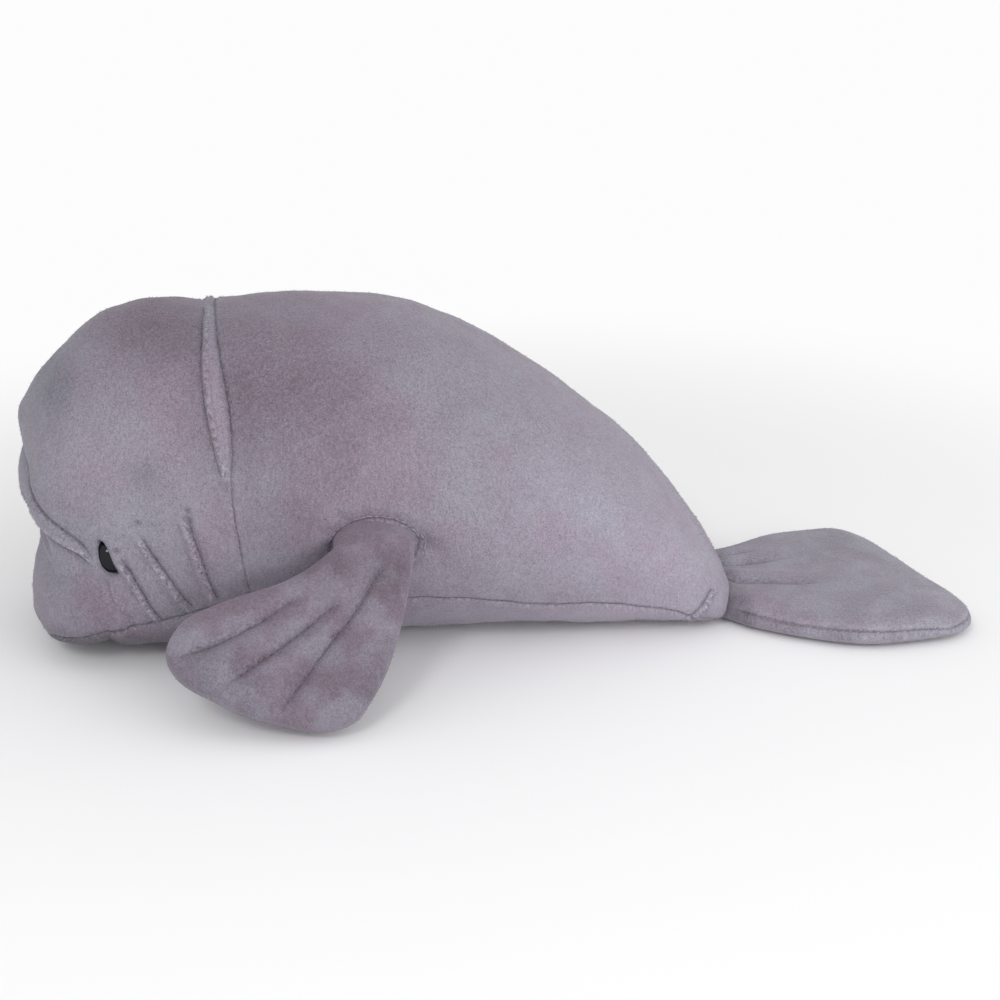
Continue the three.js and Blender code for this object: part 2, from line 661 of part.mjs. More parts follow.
function buildHead() {
  const outer = hullOuter.add(muzzleOuter);
  const folded = headFolds().reduce((sum, fold) => sum.add(fold), outer);
  const inner = hullInner.add(muzzleInner);
  const hollow = (solid) => solid.subtract(inner).intersect(inFront);
  const sides = cutAll(hollow(folded), [notAbove, muzzleRoom, ...eyeRooms]);
  for (const [side, sign] of SIDES) {
    addPiece(`head_panel_${side}`, sides.intersect(sideRegion(sign)), 'head');
  }
  const snout = hollow(muzzleOuter.subtract(hullInner));
  addPiece('muzzle_panel', cutAll(snout, [notAbove, ...eyeRooms]), 'muzzle');
  addPiece('chin_panel', hollow(outer).intersect(below), 'chin');
  const core = cutAll(hullCore.intersect(inFront), [...eyeRooms, ...washerRooms]);
  addPiece('head_stuffing', core, 'stuffing');
  addPiece('muzzle_stuffing', muzzleCore.subtract(hullInner), 'stuffing');
}

function buildBody() {
  const rooms = [notBehind, tailRoom, ...flipperRooms];
  const shell = cutAll(hullOuter.subtract(hullInner), rooms);
  const upper = shell.subtract(notAbove);
  for (const [side, sign] of SIDES) {
    addPiece(`body_panel_${side}`, upper.intersect(sideRegion(sign)), 'body');
  }
  addPiece('belly_panel', shell.intersect(below), 'belly');
  addPiece('body_stuffing', cutAll(hullCore, rooms), 'stuffing');
}

function buildEyes() {
  for (const [side, sign] of SIDES) {
    addPiece(`eye_${side}`, solidOf(onEyeAxis(eyeGeometry(0), sign)), 'eye', 0.1);
    addPiece(`eye_washer_${side}`, solidOf(onEyeAxis(washerGeometry(), sign)), 'washer', 0.5);
  }
}

function buildFlippers() {
  const shell = flipperSolid(0).subtract(flipperSolid(FABRIC));
  const top = block(-FAR, FAR, -FAR, FAR, SEAM_GAP / 2, FAR);
  const bottom = block(-FAR, FAR, -FAR, FAR, -FAR, -SEAM_GAP / 2);
  const layers = [
    ['upper', shell.intersect(top), 'flipper'],
    ['lower', shell.intersect(bottom), 'flipper'],
    ['stuffing', flipperSolid(CORE_DEPTH), 'stuffing'],
  ];
  for (const [side, sign] of SIDES) {
    for (const [layer, solid, colour] of layers) {
      const placed = solidOf(onFlank(geometryOf(solid), sign)).intersect(aboveFloor);
      addPiece(`flipper_${side}_${layer}`, placed, colour);
    }
  }
}

function buildTail() {
  const shell = tailSolid(0).subtract(tailSolid(FABRIC));
  const top = block(-FAR, FAR, -FAR, FAR, TAIL_SEAM_Z + SEAM_GAP / 2, FAR);
  const bottom = block(-FAR, FAR, -FAR, FAR, -FAR, TAIL_SEAM_Z - SEAM_GAP / 2);
  addPiece('tail_upper', shell.intersect(top), 'tail');
  addPiece('tail_lower', shell.intersect(bottom), 'tail');
  addPiece('tail_stuffing', tailSolid(CORE_DEPTH), 'stuffing');
}

buildHead();
buildBody();
buildEyes();
buildFlippers();
buildTail();

export default manatee;
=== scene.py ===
import math

import bpy
import numpy as np
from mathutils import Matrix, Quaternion, Vector, kdtree


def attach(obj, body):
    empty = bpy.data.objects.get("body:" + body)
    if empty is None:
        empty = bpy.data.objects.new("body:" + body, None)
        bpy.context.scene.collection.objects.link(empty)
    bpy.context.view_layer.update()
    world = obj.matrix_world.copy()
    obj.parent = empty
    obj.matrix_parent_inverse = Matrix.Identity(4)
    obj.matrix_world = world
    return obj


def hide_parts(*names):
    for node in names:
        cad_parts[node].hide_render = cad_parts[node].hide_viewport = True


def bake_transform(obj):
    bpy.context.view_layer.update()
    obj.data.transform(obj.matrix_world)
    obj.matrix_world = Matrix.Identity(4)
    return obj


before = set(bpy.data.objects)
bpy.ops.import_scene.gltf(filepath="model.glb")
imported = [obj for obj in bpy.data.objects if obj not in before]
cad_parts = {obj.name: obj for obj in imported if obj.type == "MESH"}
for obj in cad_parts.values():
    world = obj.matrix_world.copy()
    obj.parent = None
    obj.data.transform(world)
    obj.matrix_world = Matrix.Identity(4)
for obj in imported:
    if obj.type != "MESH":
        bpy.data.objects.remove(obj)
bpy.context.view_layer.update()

bl_info = {
    "name": "Plush manatee",
    "version": (1, 0, 0),
    "blender": (4, 5, 0),
    "location": "View3D > Sidebar > Manatee",
    "description": "Sewn plush manatee with folds, channels, stitches and pile over its frame",
    "category": "Object",
}

MM = 0.001
MIRROR = np.array([1, -1, 1])
# Stands for no sewn line near, in millimetres.
FAR = 99.0

# Sizes of the frame's forms, in millimetres. The head points to -X and the toy's left side is -Y.
NECK_X = -115.0
HEAD_LENGTH, HEAD_HEIGHT, HEAD_WIDTH = 79.0, 136.5, 113.0
BODY_LENGTH, BODY_HEIGHT, BODY_WIDTH = 211.0, 138.0, 130.0
MUZZLE_LENGTH, MUZZLE_HEIGHT, MUZZLE_WIDTH, MUZZLE_SETBACK = 46.0, 64.0, 100.0, 2.0
FLAT_CUT = 0.5
TOP_FULLNESS = 2.1
# Lowest height of the fabric, and how far from the middle the flanks begin.
FLOOR = 0.05
FLANK = 12.0
# Cross-sections: [along, back, widest, belly, half width, fullness below], as shares of each size.
HEAD_SECTIONS = [
    [1.0, 0.61, 0.61, 0.61, 0, 2.2], [0.985, 0.7, 0.59, 0.5, 0.3, 2.2],
    [0.938, 0.745, 0.56, 0.43, 0.51, 2.2], [0.863, 0.81, 0.53, 0.31, 0.66, 2.3],
    [0.738, 0.885, 0.5, 0.09, 0.79, 2.9], [0.563, 0.967, 0.48, 0.005, 0.89, 3.6],
    [0.35, 1.0, 0.475, 0, 0.955, 3.5], [0.138, 1.002, 0.48, 0, 0.995, 3.0],
]
BODY_SECTIONS = [
    [0.047, 0.995, 0.49, 0, 0.925, 2.4], [0.128, 1.0, 0.49, 0, 0.975, 2.25],
    [0.261, 0.985, 0.478, 0, 1.0, 2.2], [0.403, 0.945, 0.449, 0, 0.992, 2.2],
    [0.545, 0.845, 0.406, 0, 0.954, 2.3], [0.678, 0.705, 0.345, 0, 0.892, 2.6],
    [0.806, 0.525, 0.265, 0, 0.815, 3.1], [0.905, 0.335, 0.175, 0, 0.723, 3.6],
    [0.967, 0.19, 0.105, 0.004, 0.58, 3.6], [1.0, 0.084, 0.084, 0.084, 0, 3.0],
]
MUZZLE_SECTIONS = [
    [0, 0.33, 0.33, 0.33, 0, 2.2], [0.02, 0.48, 0.34, 0.18, 0.4, 2.2],
    [0.075, 0.63, 0.36, 0.09, 0.62, 2.3], [0.165, 0.79, 0.4, 0.015, 0.79, 2.4],
    [0.31, 0.93, 0.43, 0, 0.9, 2.5], [0.5, 1.0, 0.44, 0, 0.97, 2.5],
    [0.7, 0.97, 0.44, 0, 1.0, 2.6], [0.87, 0.81, 0.42, 0.02, 0.88, 2.5],
    [1.0, 0.42, 0.42, 0.42, 0, 2.2],
]

# Seams in side view: [x, z].
NECK_SEAM = [[-104.5, 28], [-105.4, 38], [-107.6, 52], [-109.3, 66], [-109.7, 74.7], [-109.8, 84.7],
             [-109, 92], [-109, 99], [-109.4, 106], [-110.6, 115], [-111.8, 122], [-112.8, 128.5],
             [-113.2, 134], [-113.6, 140]]
UNDER_SEAM = [[-200, 8], [-197, 9], [-180, 13.5], [-160, 18], [-138, 23], [-118, 29], [-100, 30],
              [-41, 28.7], [-25, 28], [7, 22], [40, 19], [63, 13.5], [75, 7], [86, 3.5], [100, 2.5]]

# Front edge of the neck fold, and the height of the fold at z. Its rear edge is the neck seam.
NECK_FOLD_FRONT = [[-112.6, 72], [-113.2, 82], [-115.2, 91], [-117, 100], [-118.7, 110],
                   [-119.2, 120], [-118.2, 134], [-117.4, 139]]
NECK_FOLD_HEIGHT = [[82, 0], [86.5, 1.9], [96, 2.3], [110, 2.8], [122, 2.6], [131, 2.2], [138, 1.2]]
# Cheek tucks: points in side view, then how wide the raised pile beside each one is.
CHEEK_TUCKS = [
    ([[-152.6, 52], [-150.2, 46.1], [-146.2, 36.2], [-143.2, 29.2], [-138.8, 21.8]], 1.3),
    ([[-145, 60.6], [-141.4, 53.3], [-136.6, 44.4], [-131.5, 34.8], [-126.8, 27.2]], 1.5),
    ([[-126.7, 68], [-125.4, 60.5], [-123.2, 52], [-120.7, 41.6], [-117, 30.8]], 1.9),
]
# Dimples where tucks begin and end: [x, z, radius].
CHEEK_DIMPLES = [[-154, 54.5, 0.9], [-145.8, 65.5, 1.0], [-126.6, 70.4, 1.3], [-126.8, 66.6, 1.6]]
DIMPLE_DEPTH = 1.3
# Roll of fabric above the muzzle: its upper and lower edge in side view, and its height at x.
BROW_TOP = [[-196, 81.5], [-191.5, 80], [-187.8, 75], [-182.6, 67.3], [-177.4, 62.2],
            [-171.4, 58.2], [-164.9, 53.4], [-161.5, 51]]
BROW_FOOT = [[-196, 60.5], [-188, 60], [-184.2, 58.8], [-181, 56.6], [-176, 53.9], [-170, 51.4],
             [-164.8, 49.3], [-161.5, 48.2]]
BROW_HEIGHT = [[-195, 0.9], [-188, 1.2], [-182, 1.6], [-176, 1.6], [-167, 1.3], [-161.5, 0.0]]
# Seam at the rear of the muzzle, in side view, and how far muzzle and head run into each other.
MUZZLE_SEAM = [[-158.6, 43.6], [-158.2, 40], [-157.2, 35], [-154.4, 28.8], [-150.2, 23.5]]
MUZZLE_BLEND = 9.0
EYE_CENTRE = [-158.5, 50.0]
EYE_RADIUS, EYE_DOME, EYE_SINK, SHANK_RADIUS, SHANK_LENGTH = 6.8, 5.4, 2.4, 1.8, 11.0
# Opening between the lids, in side view.
EYE_OPENING = [[-160.8, 58.3], [-158.9, 57.7], [-157.2, 55.6], [-155.8, 52.6], [-154.5, 48.4],
               [-153.6, 45.0], [-155.1, 44.2], [-157.6, 45.5], [-159.3, 48.3], [-160.3, 51.9],
               [-160.9, 55.4]]

# Flippers: ribs from the front edge to the rear edge, [forward, out] shares of reach and length.
# FLIPPER_INSIDE is the share of the length that continues into the body.
FLIPPER_AXIS = [-57.5, 68.64, 54.5]
FLIPPER_LENGTH, FLIPPER_REACH, FLIPPER_DROOP, FLIPPER_INSIDE = 72.0, 76.0, 46.5, 0.19
FLIPPER_THICKNESS, FLIPPER_ROOT_THICKNESS, FLIPPER_FLOOR = 7.6, 10.2, 0.4
FLIPPER_RIBS = [
    [[0.2, 0], [0.46, 0.15], [0.77, 0.235], [1.0, 0.34]],
    [[0.11, 0.01], [0.4, 0.26], [0.69, 0.43], [1.03, 0.56]],
    [[0.01, 0.02], [0.18, 0.27], [0.45, 0.5], [0.82, 0.755]],
    [[-0.09, 0.01], [0.07, 0.3], [0.27, 0.57], [0.5, 0.91]],
    [[-0.2, 0], [-0.125, 0.34], [-0.005, 0.68], [0.19, 0.985]],
]
FLIPPER_EDGE, FLIPPER_END = 13.0, 16.0
# Half thickness of a limb at its sewn edge.
RIM = 1.3 * 0.7
# Sewn channels: place across the limb, and shares of its length where each starts and ends.
FLIPPER_CHANNELS = [[0.25, 0.36, 0.93], [0.49, 0.4, 0.92], [0.725, 0.2, 0.94]]
# Opening at a flipper's root in side view: its centre, half axes, and those of its stitches,
# which run from one angle to another, with loose thread ends behind them.
ROOT_CENTRE, ROOT_OPENING, ROOT_STITCHES = [-57.0, 54.5], [16.5, 11.5], [17.2, 12.3]
ROOT_ARC = 15, 165
LOOSE_ENDS = [[-44.5, 62.3], [-41, 59], [-39, 55.5], [-38.4, 51.5]]
# Dimples round that root: [x, z, radius, depth, darkness of the painted shade in it].
ROOT_DIMPLES = [[-73.5, 55.5, 2.6, 1.6, 0.25], [-38.5, 55, 4.2, 2.0, 0.18],
                [-35, 47, 8, 1.6, 0.06]]
# Where the flipper's centre line bends down, and where it has the frame's slope and place.
FLIPPER_BEND, FLIPPER_STRAIGHT = 9, 12

# Tail: tuck in the body ahead of its root, in side view, and ribs from the left edge to the right,
# [back, right] shares of length and half width.
TAIL_TUCK = [[70, 7], [76, 13], [80.5, 22]]
TAIL_ROOT = [98.2, 0.0, 4.4]
TAIL_LENGTH, TAIL_WIDTH, TAIL_TOP, TAIL_INSIDE = 96.0, 122.0, 9.0, 0.11
TAIL_RIBS = [
    [[0, -0.74], [0.19, -0.95], [0.48, -1.13], [0.92, -1.07]],
    [[0, -0.46], [0.28, -0.62], [0.6, -0.75], [0.955, -0.77]],
    [[0, -0.16], [0.3, -0.19], [0.59, -0.22], [0.87, -0.24]],
    [[0, 0.12], [0.28, 0.23], [0.55, 0.26], [0.795, 0.24]],
    [[0, 0.36], [0.15, 0.47], [0.4, 0.64], [0.725, 0.585]],
]
TAIL_EDGE, TAIL_END = 17.0, 20.0
# Pleats gathered at the tail's root: place across, length as a share, depth in millimetres.
TAIL_PLEATS = [[0.36, 0.52, 2.4], [0.6, 0.42, 2.4], [0.71, 0.3, 1.6], [0.88, 0.22, 0.9]]

# Brushed patches of pile, with painted light on the lower rear of the body and painted shade under
# the chin and throat: [x, z, reach x, reach z, mauve, lightness], on both sides of the toy.
BRUSHED_AND_PAINTED_LIGHT_PATCHES = [
    [-190, 88, 20, 46, -0.8, -0.03], [-176, 112, 10, 10, -0.6, -0.13],
    [-138, 134, 25, 14, 0.85, -0.2], [-158, 88, 24, 16, 0.35, 0.03],
    [-141, 84, 7, 6, -0.7, -0.09], [-128, 105, 16, 20, 0.6, -0.02],
    [-148, 66, 14, 10, -0.4, 0.02], [-88, 116, 30, 28, 0.9, -0.16],
    [-66, 96, 26, 24, 0.75, -0.04], [-88, 64, 16, 16, 0.4, -0.07],
    [-40, 122, 24, 12, -0.2, 0.0], [-30, 80, 36, 32, 0.1, -0.01],
    [-22, 44, 26, 18, 0.15, 0.0], [16, 72, 34, 34, -0.25, 0.06],
    [48, 48, 34, 34, 0.0, 0.11], [76, 28, 22, 24, -0.1, 0.12],
    [40, 10, 32, 9, 0.0, 0.12], [-118, 60, 12, 24, 0.5, 0.02],
    [-124, 40, 8, 14, 0.35, -0.03], [-180, 34, 24, 18, -0.35, -0.03],
    [-163, 35, 7, 13, 0.8, -0.06], [-174, 9, 26, 8, -0.1, -0.44],
    [-140, 10, 16, 7, 0.4, -0.16], [-115, 134, 5, 6, -0.9, 0.04],
]

# Fineness of the skins: distance between rings and number of columns, or steps across and along.
HEAD_SPACING, BODY_SPACING, TRUNK_COLUMNS = 0.85, 1.4, 380
MUZZLE_SPACING, MUZZLE_COLUMNS = 0.85, 260
FLIPPER_GRID, TAIL_GRID = (120, 84), (124, 96)
# The same for the coarse forms of the cloth simulation, and its steps.
TRUNK_COARSE, MUZZLE_COARSE = (6.5, 60), (5.0, 44)
FLIPPER_COARSE, TAIL_COARSE = (30, 20), (32, 24)
CLOTH_STEPS = 20

# Standing pile: its lay, how far tufts stray from it, the bristle of bare fabric, and the height
# under which the pile is pressed flat.
PILE_LAY, PILE_TOUSLE, BARE, PRESSED = (0.55, 0.0, -0.35), 0.55, -9.0, 1.6
STITCH_SEED, PILE_SEED = 5, 9
# Heights between which the neck's stitches show, and x between which the belly's do.
NECK_STITCHES, BELLY_STITCHES = (40, 84), (-36, 80)

# Scales of the plush's patterns: broad blotches, brushed patches, lay of the pile, its grain, and
# the raggedness of sewn lines and of the pile beside them.
BLOTCH, PATCH, LAY, GRAIN, RAGGED, FLUFF = 26.0, 75.0, 850.0, 1700.0, 620.0, 700.0
# Half widths of a sewn line and of the shade along it, and the place and half width of the pale
# pile beside it, in millimetres. A tuck has that pile on one side.
LINE, SHADE, PALE, TUCK_PALE = 0.34, 1.5, (1.2, 0.7), (1.5, 1.0)

# Stage, in metres: lamps as [name, place, size, property of its power], and the camera.
LAMPS = [["key_light", (1.0, -0.9, 0.9), 1.2, "key"],
         ["fill_light", (0.45, -1.5, 0.4), 1.2, "fill"],
         ["glint_light", (-0.46, -0.91, 0.84), 0.26, "glint"]]
LAMP_AIM, CAMERA_AIM = Vector((0, 0, 0.05)), Vector((0, 0, 0.06))
LENS, SENSOR, SHIFT = 64.8, 36, -0.03
FLOOR_REACH = 6


# Curves and forms


def catmull(before, start, end, after, share):
    return 0.5 * (
        2 * start + (end - before) * share
        + (2 * before - 5 * start + 4 * end - after) * share**2
        + (3 * start - before - 3 * end + after) * share**3
    )


def spline(rows, places, ends=None):
    """Rows at places counted in rows, smooth through every row."""
    rows = np.asarray(rows, float)
    first, last = ends if ends is not None else (rows[0], rows[-1])
    held = np.vstack([[first], rows, [last]])
    places = np.asarray(places, float)
    index = np.clip(places.astype(int), 0, len(rows) - 2)
    share = (places - index)[..., None]
    return catmull(held[index], held[index + 1], held[index + 2], held[index + 3], share)


def past_pole(row):
    x, back, widest, belly, half, full = row
    return [x, belly, widest, back, -half, full]


def sections(table, start, length, height, width):
    rows = np.array(table, float)
    rows[:, 3] = rows[:, 3] * height - np.where(rows[:, 3] == 0, FLAT_CUT, 0)
    rows[:, 0] = start + rows[:, 0] * length
    rows[:, 1:3] *= height
    rows[:, 4] *= width / 2
    return rows


HULL = np.vstack([
    sections(HEAD_SECTIONS, NECK_X, -HEAD_LENGTH, HEAD_HEIGHT, HEAD_WIDTH),
    sections(BODY_SECTIONS, NECK_X, BODY_LENGTH, BODY_HEIGHT, BODY_WIDTH),
])
MUZZLE = sections(MUZZLE_SECTIONS, NECK_X - HEAD_LENGTH + MUZZLE_SETBACK, MUZZLE_LENGTH,
                  MUZZLE_HEIGHT, MUZZLE_WIDTH)


def section_at(form, places):
    return spline(form, places, (past_pole(form[1]), past_pole(form[-2])))


def on_form(form, places, turn):
    x, back, widest, belly, half, full = np.moveaxis(section_at(form, places), -1, 0)
    side, rise = np.sin(2 * np.pi * turn), np.cos(2 * np.pi * turn)
    power = np.where(rise >= 0, TOP_FULLNESS, full)
    reach = (np.abs(side) ** power + np.abs(rise) ** power) ** (-1 / power)
    height = np.where(rise >= 0, back - widest, widest - belly)
    return np.stack([x + 0 * reach, -half * reach * side, widest + height * reach * rise], -1)


def form_normals(form, places, turn):
    step = 0.01
    along = on_form(form, places + step, turn) - on_form(form, places - step, turn)
    around = on_form(form, places, turn + step) - on_form(form, places, turn - step)
    normal = np.cross(around, along)
    return normal / np.linalg.norm(normal, axis=-1, keepdims=True)


def place_of_x(form, x):
    """Place along the form, in sections, where its axis reaches x."""
    places = np.linspace(0, len(form) - 1, 4000)
    return np.interp(x, section_at(form, places)[:, 0], places)


def inside_share(form, points):
    """Under 1 inside the form, 1 on it and more outside."""
    low, high = form[0][0] + 0.2, form[-1][0] - 0.2
    places = place_of_x(form, np.clip(points[:, 0], low, high))
    _, back, widest, belly, half, full = section_at(form, places).T
    above = points[:, 2] > widest
    power = np.where(above, TOP_FULLNESS, full)
    height = np.where(above, back - widest, widest - belly)
    share = (np.abs(points[:, 1] / np.maximum(half, 0.5)) ** power
             + np.abs((points[:, 2] - widest) / np.maximum(height, 0.5)) ** power) ** (1 / power)
    past = np.maximum(low - points[:, 0], points[:, 0] - high)
    return share + np.maximum(past, 0) * 0.05


def flank(x, z):
    """Points of the hull at places of the side view, on the side of +Y."""
    x, z = np.asarray(x, float), np.asarray(z, float)
    _, back, widest, belly, half, full = section_at(HULL, place_of_x(HULL, x)).T
    power = np.where(z > widest, TOP_FULLNESS, full)
    share = np.abs(z - widest) / np.where(z > widest, back - widest, widest - belly)
    return np.stack([x, half * (1 - np.minimum(1, share) ** power) ** (1 / power), z], -1)


def flank_normals(x, z):
    along = flank(x + 1, z) - flank(x - 1, z)
    up = flank(x, z + 1) - flank(x, z - 1)
    normal = np.cross(up, along)
    return normal / np.linalg.norm(normal, axis=-1, keepdims=True)


def smooth(low, high, value):
    share = np.clip((value - low) / (high - low), 0, 1)
    return share * share * (3 - 2 * share)


def bell(value, width):
    return np.exp(-((value / width) ** 2))


def spot(points, x, z, reach_x, reach_z):
    """A soft oval spot in side view, 1 at its centre."""
    return np.exp(-(((points[:, 0] - x) / reach_x) ** 2 + ((points[:, 2] - z) / reach_z) ** 2))


def table(pairs, value):
    """Read from pairs of [value, result], straight between them."""
    pairs = np.array(pairs, float)
    return np.interp(value, pairs[:, 0], pairs[:, 1])


def at_height(seam, z):
    """x of a seam drawn as [x, z], at heights z."""
    seam = np.array(sorted(seam, key=lambda point: point[1]))
    return np.interp(z, seam[:, 1], seam[:, 0])


def finer(path, steps=10):
    path = np.asarray(path, float)
    return spline(path, np.linspace(0, len(path) - 1, (len(path) - 1) * steps + 1))


def beside(path, points):
    """Distance of points from a path, their signed distance in its own plane and share along it."""
    path = finer(path)
    start, run = path[:-1], path[1:] - path[:-1]
    length = np.linalg.norm(run, axis=1)
    done = np.concatenate([[0], np.cumsum(length)])
    offset = points[:, None, :] - start[None]
    share = np.clip((offset * run).sum(2) / (length**2), 0, 1)
    gap = offset - share[..., None] * run[None]
    distance = np.linalg.norm(gap, axis=2)
    nearest = distance.argmin(1)
    pick = np.arange(len(points))
    gap, run = gap[pick, nearest], run[nearest]
    side = np.sign(run[:, 0] * gap[:, -1] - run[:, -1] * gap[:, 0])
    along = (done[nearest] + share[pick, nearest] * length[nearest]) / done[-1]
    return distance[pick, nearest], side * distance[pick, nearest], along


def ripple(points, wave, seed):
    """Even, soft unevenness of about one wave length, from -1 to 1."""
    rng = np.random.default_rng(seed)
    total = np.zeros(len(points))
    for _ in range(7):
        direction = rng.normal(size=3)
        direction /= np.linalg.norm(direction)
        stretch = wave * rng.uniform(0.8, 1.5)
        total += np.sin(2 * np.pi * points @ direction / stretch + rng.uniform(0, 2 * np.pi))
    return total / 3.2


def above(points, lowest):
    """The points, with those under a height lifted to it."""
    points = points.copy()
    points[:, 2] = np.maximum(points[:, 2], lowest)
    return points


def split(a, b, c, d):
    """Two triangles for each quad with these corners."""
    return np.vstack([np.stack([a, b, c], -1).reshape(-1, 3),
                      np.stack([a, c, d], -1).reshape(-1, 3)])


def turned_faces(rings, columns):
    """Triangles over closed rings of points; one point each for the two ends comes after them."""
    ring = np.arange(rings * columns).reshape(rings, columns)
    ahead = np.roll(ring, -1, axis=1)
    first, last = (np.full(columns, rings * columns + end) for end in (0, 1))
    return np.vstack([split(ring[:-1], ahead[:-1], ahead[1:], ring[1:]),
                      np.stack([first, ahead[0], ring[0]], -1),
                      np.stack([last, ring[-1], ahead[-1]], -1)])


def lathe(rows, sides):
    """Rows of [radius, height] turned round +Z; the first and last lie on the axis."""
    angle = 2 * np.pi * np.arange(sides) / sides
    rings = [np.stack([radius * np.cos(angle), radius * np.sin(angle), np.full(sides, height)], 1)
             for radius, height in rows[1:-1]]
    points = np.vstack(rings + [[[0, 0, rows[0][1]]], [[0, 0, rows[-1][1]]]])
    return points, turned_faces(len(rows) - 2, sides)


def outward(points, faces):
    """Point normals from the triangles, and the triangles turned so that they face out."""
    corners = points[faces]
    normals = np.cross(corners[:, 1] - corners[:, 0], corners[:, 2] - corners[:, 0])
    if (normals * (corners.mean(1) - points.mean(0))).sum() < 0:
        faces, normals = faces[:, ::-1], -normals
    total = np.zeros_like(points)
    for corner in range(3):
        np.add.at(total, faces[:, corner], normals)
    return total / np.maximum(np.linalg.norm(total, axis=1, keepdims=True), 1e-9), faces


# Fabric skins


class Skin:
    """A fabric surface: points, outward normals and triangles, with values at every point."""

    def __init__(self, points, normals, faces, **values):
        self.points, self.normals, self.faces, self.values = points, normals, faces, values

    def cut(self, level):
        """The part where level is 0 or more, with a clean edge along 0."""
        kept = level >= 0
        faces = self.faces
        inside = kept[faces].sum(1)
        whole = faces[inside == 3]
        added, new_faces = {}, []
        pairs, shares = [], []

        def crossing(a, b):
            key = (min(a, b), max(a, b))
            if key not in added:
                added[key] = len(level) + len(pairs)
                pairs.append(key)
                shares.append(level[key[0]] / (level[key[0]] - level[key[1]]))
            return added[key]

        for face in faces[(inside == 1) | (inside == 2)].tolist():
            held = [kept[v] for v in face]
            lone = held.index(True) if sum(held) == 1 else held.index(False)
            a, b, c = face[lone], face[(lone + 1) % 3], face[(lone + 2) % 3]
            ab, ca = crossing(a, b), crossing(a, c)
            if kept[a]:
                new_faces.append((a, ab, ca))
            else:
                new_faces += [(ab, b, c), (ab, c, ca)]
        faces = np.vstack([whole, np.array(new_faces, int).reshape(-1, 3)])
        used, inverse = np.unique(faces, return_inverse=True)
        first, second = np.array(pairs, int).reshape(-1, 2).T
        share = np.array(shares, float)

        def carried(values):
            shaped = share.reshape(-1, *([1] * (values.ndim - 1)))
            crossed = values[first] * (1 - shaped) + values[second] * shaped
            return np.concatenate([values, crossed])[used]

        return Skin(carried(self.points), carried(self.normals), inverse.reshape(-1, 3),
                    **{name: carried(values) for name, values in self.values.items()})

    def edges(self):
        """Closed loops of points round the skin's open edges."""
        sides = np.vstack([self.faces[:, [0, 1]], self.faces[:, [1, 2]], self.faces[:, [2, 0]]])
        keys = sides[:, 0].astype(np.int64) * len(self.points) + sides[:, 1]
        back = sides[:, 1].astype(np.int64) * len(self.points) + sides[:, 0]
        open_sides = sides[~np.isin(keys, back)]
        following = dict(open_sides.tolist())
        loops = []
        while following:
            start, here = next(iter(following.items()))
            loop = [start]
            del following[start]
            while here != start and here in following:
                loop.append(here)
                here = following.pop(here)
            loops.append(loop)
        return loops

    def closed(self, turn_in=3.0):
        """Turns every open edge in, as at a seam, and closes it over the filling."""
        points, normals = [self.points], [self.normals]
        values = {name: [held] for name, held in self.values.items()}
        faces, count = [self.faces], len(self.points)
        for loop in self.edges():
            loop = np.array(loop)
            size = len(loop)
            inner = above(self.points[loop] - self.normals[loop] * turn_in, FLOOR)
            centre = inner.mean(0, keepdims=True)
            points += [inner, centre]
            normals += [self.normals[loop], self.normals[loop][:1]]
            for name, held in values.items():
                held += [self.values[name][loop], self.values[name][loop][:1]]
            a, b = loop, np.roll(loop, -1)
            a_in = count + np.arange(size)
            b_in = np.roll(a_in, -1)
            middle = np.full(size, count + size)
            faces += [split(b, a, a_in, b_in), np.stack([b_in, a_in, middle], 1)]
            count += size + 1
        return Skin(np.vstack(points), np.vstack(normals), np.vstack(faces),
                    **{name: np.concatenate(held) for name, held in values.items()})

    def mirrored(self):
        return Skin(self.points * MIRROR, self.normals * MIRROR, self.faces[:, ::-1], **self.values)


def joined(skins):
    """Several skins as one, with the values that all of them have."""
    count = np.cumsum([0] + [len(skin.points) for skin in skins])
    common = [name for name in skins[0].values if all(name in skin.values for skin in skins)]
    return Skin(np.vstack([skin.points for skin in skins]),
                np.vstack([skin.normals for skin in skins]),
                np.vstack([skin.faces + start for skin, start in zip(skins, count)]),
                **{name: np.concatenate([skin.values[name] for skin in skins]) for name in common})


def parted(skin, **sides):
    """The part of a skin on one side (1 or -1) of each of its named levels."""
    for level, side in sides.items():
        skin = skin.cut(side * skin.values[level])
    return skin


def form_skin(form, spacing, columns):
    """Fabric round a form, with rings a spacing apart; spacing is a function of x."""
    places = np.linspace(0, len(form) - 1, 3000)
    turns = np.arange(8) / 8
    spine = on_form(form, places[:, None], turns[None])
    steps = np.linalg.norm(np.diff(spine, axis=0), axis=2).max(1)
    counted = np.concatenate([[0], np.cumsum(steps / spacing(spine[1:, :, 0].mean(1)))])
    count = int(counted[-1])
    rings = np.interp(np.arange(1, count) * counted[-1] / count, counted, places)
    turn = np.arange(columns) / columns
    turn += 0.35 / (4 * np.pi) * np.sin(4 * np.pi * turn)
    points = on_form(form, rings[:, None], turn[None]).reshape(-1, 3)
    normals = form_normals(form, rings[:, None], turn[None]).reshape(-1, 3)
    ends = on_form(form, np.array([0.0, len(form) - 1.0]), np.array([0.0, 0.0]))
    return Skin(np.vstack([points, ends]), np.vstack([normals, [[-1, 0, 0], [1, 0, 0]]]),
                turned_faces(len(rings), columns))


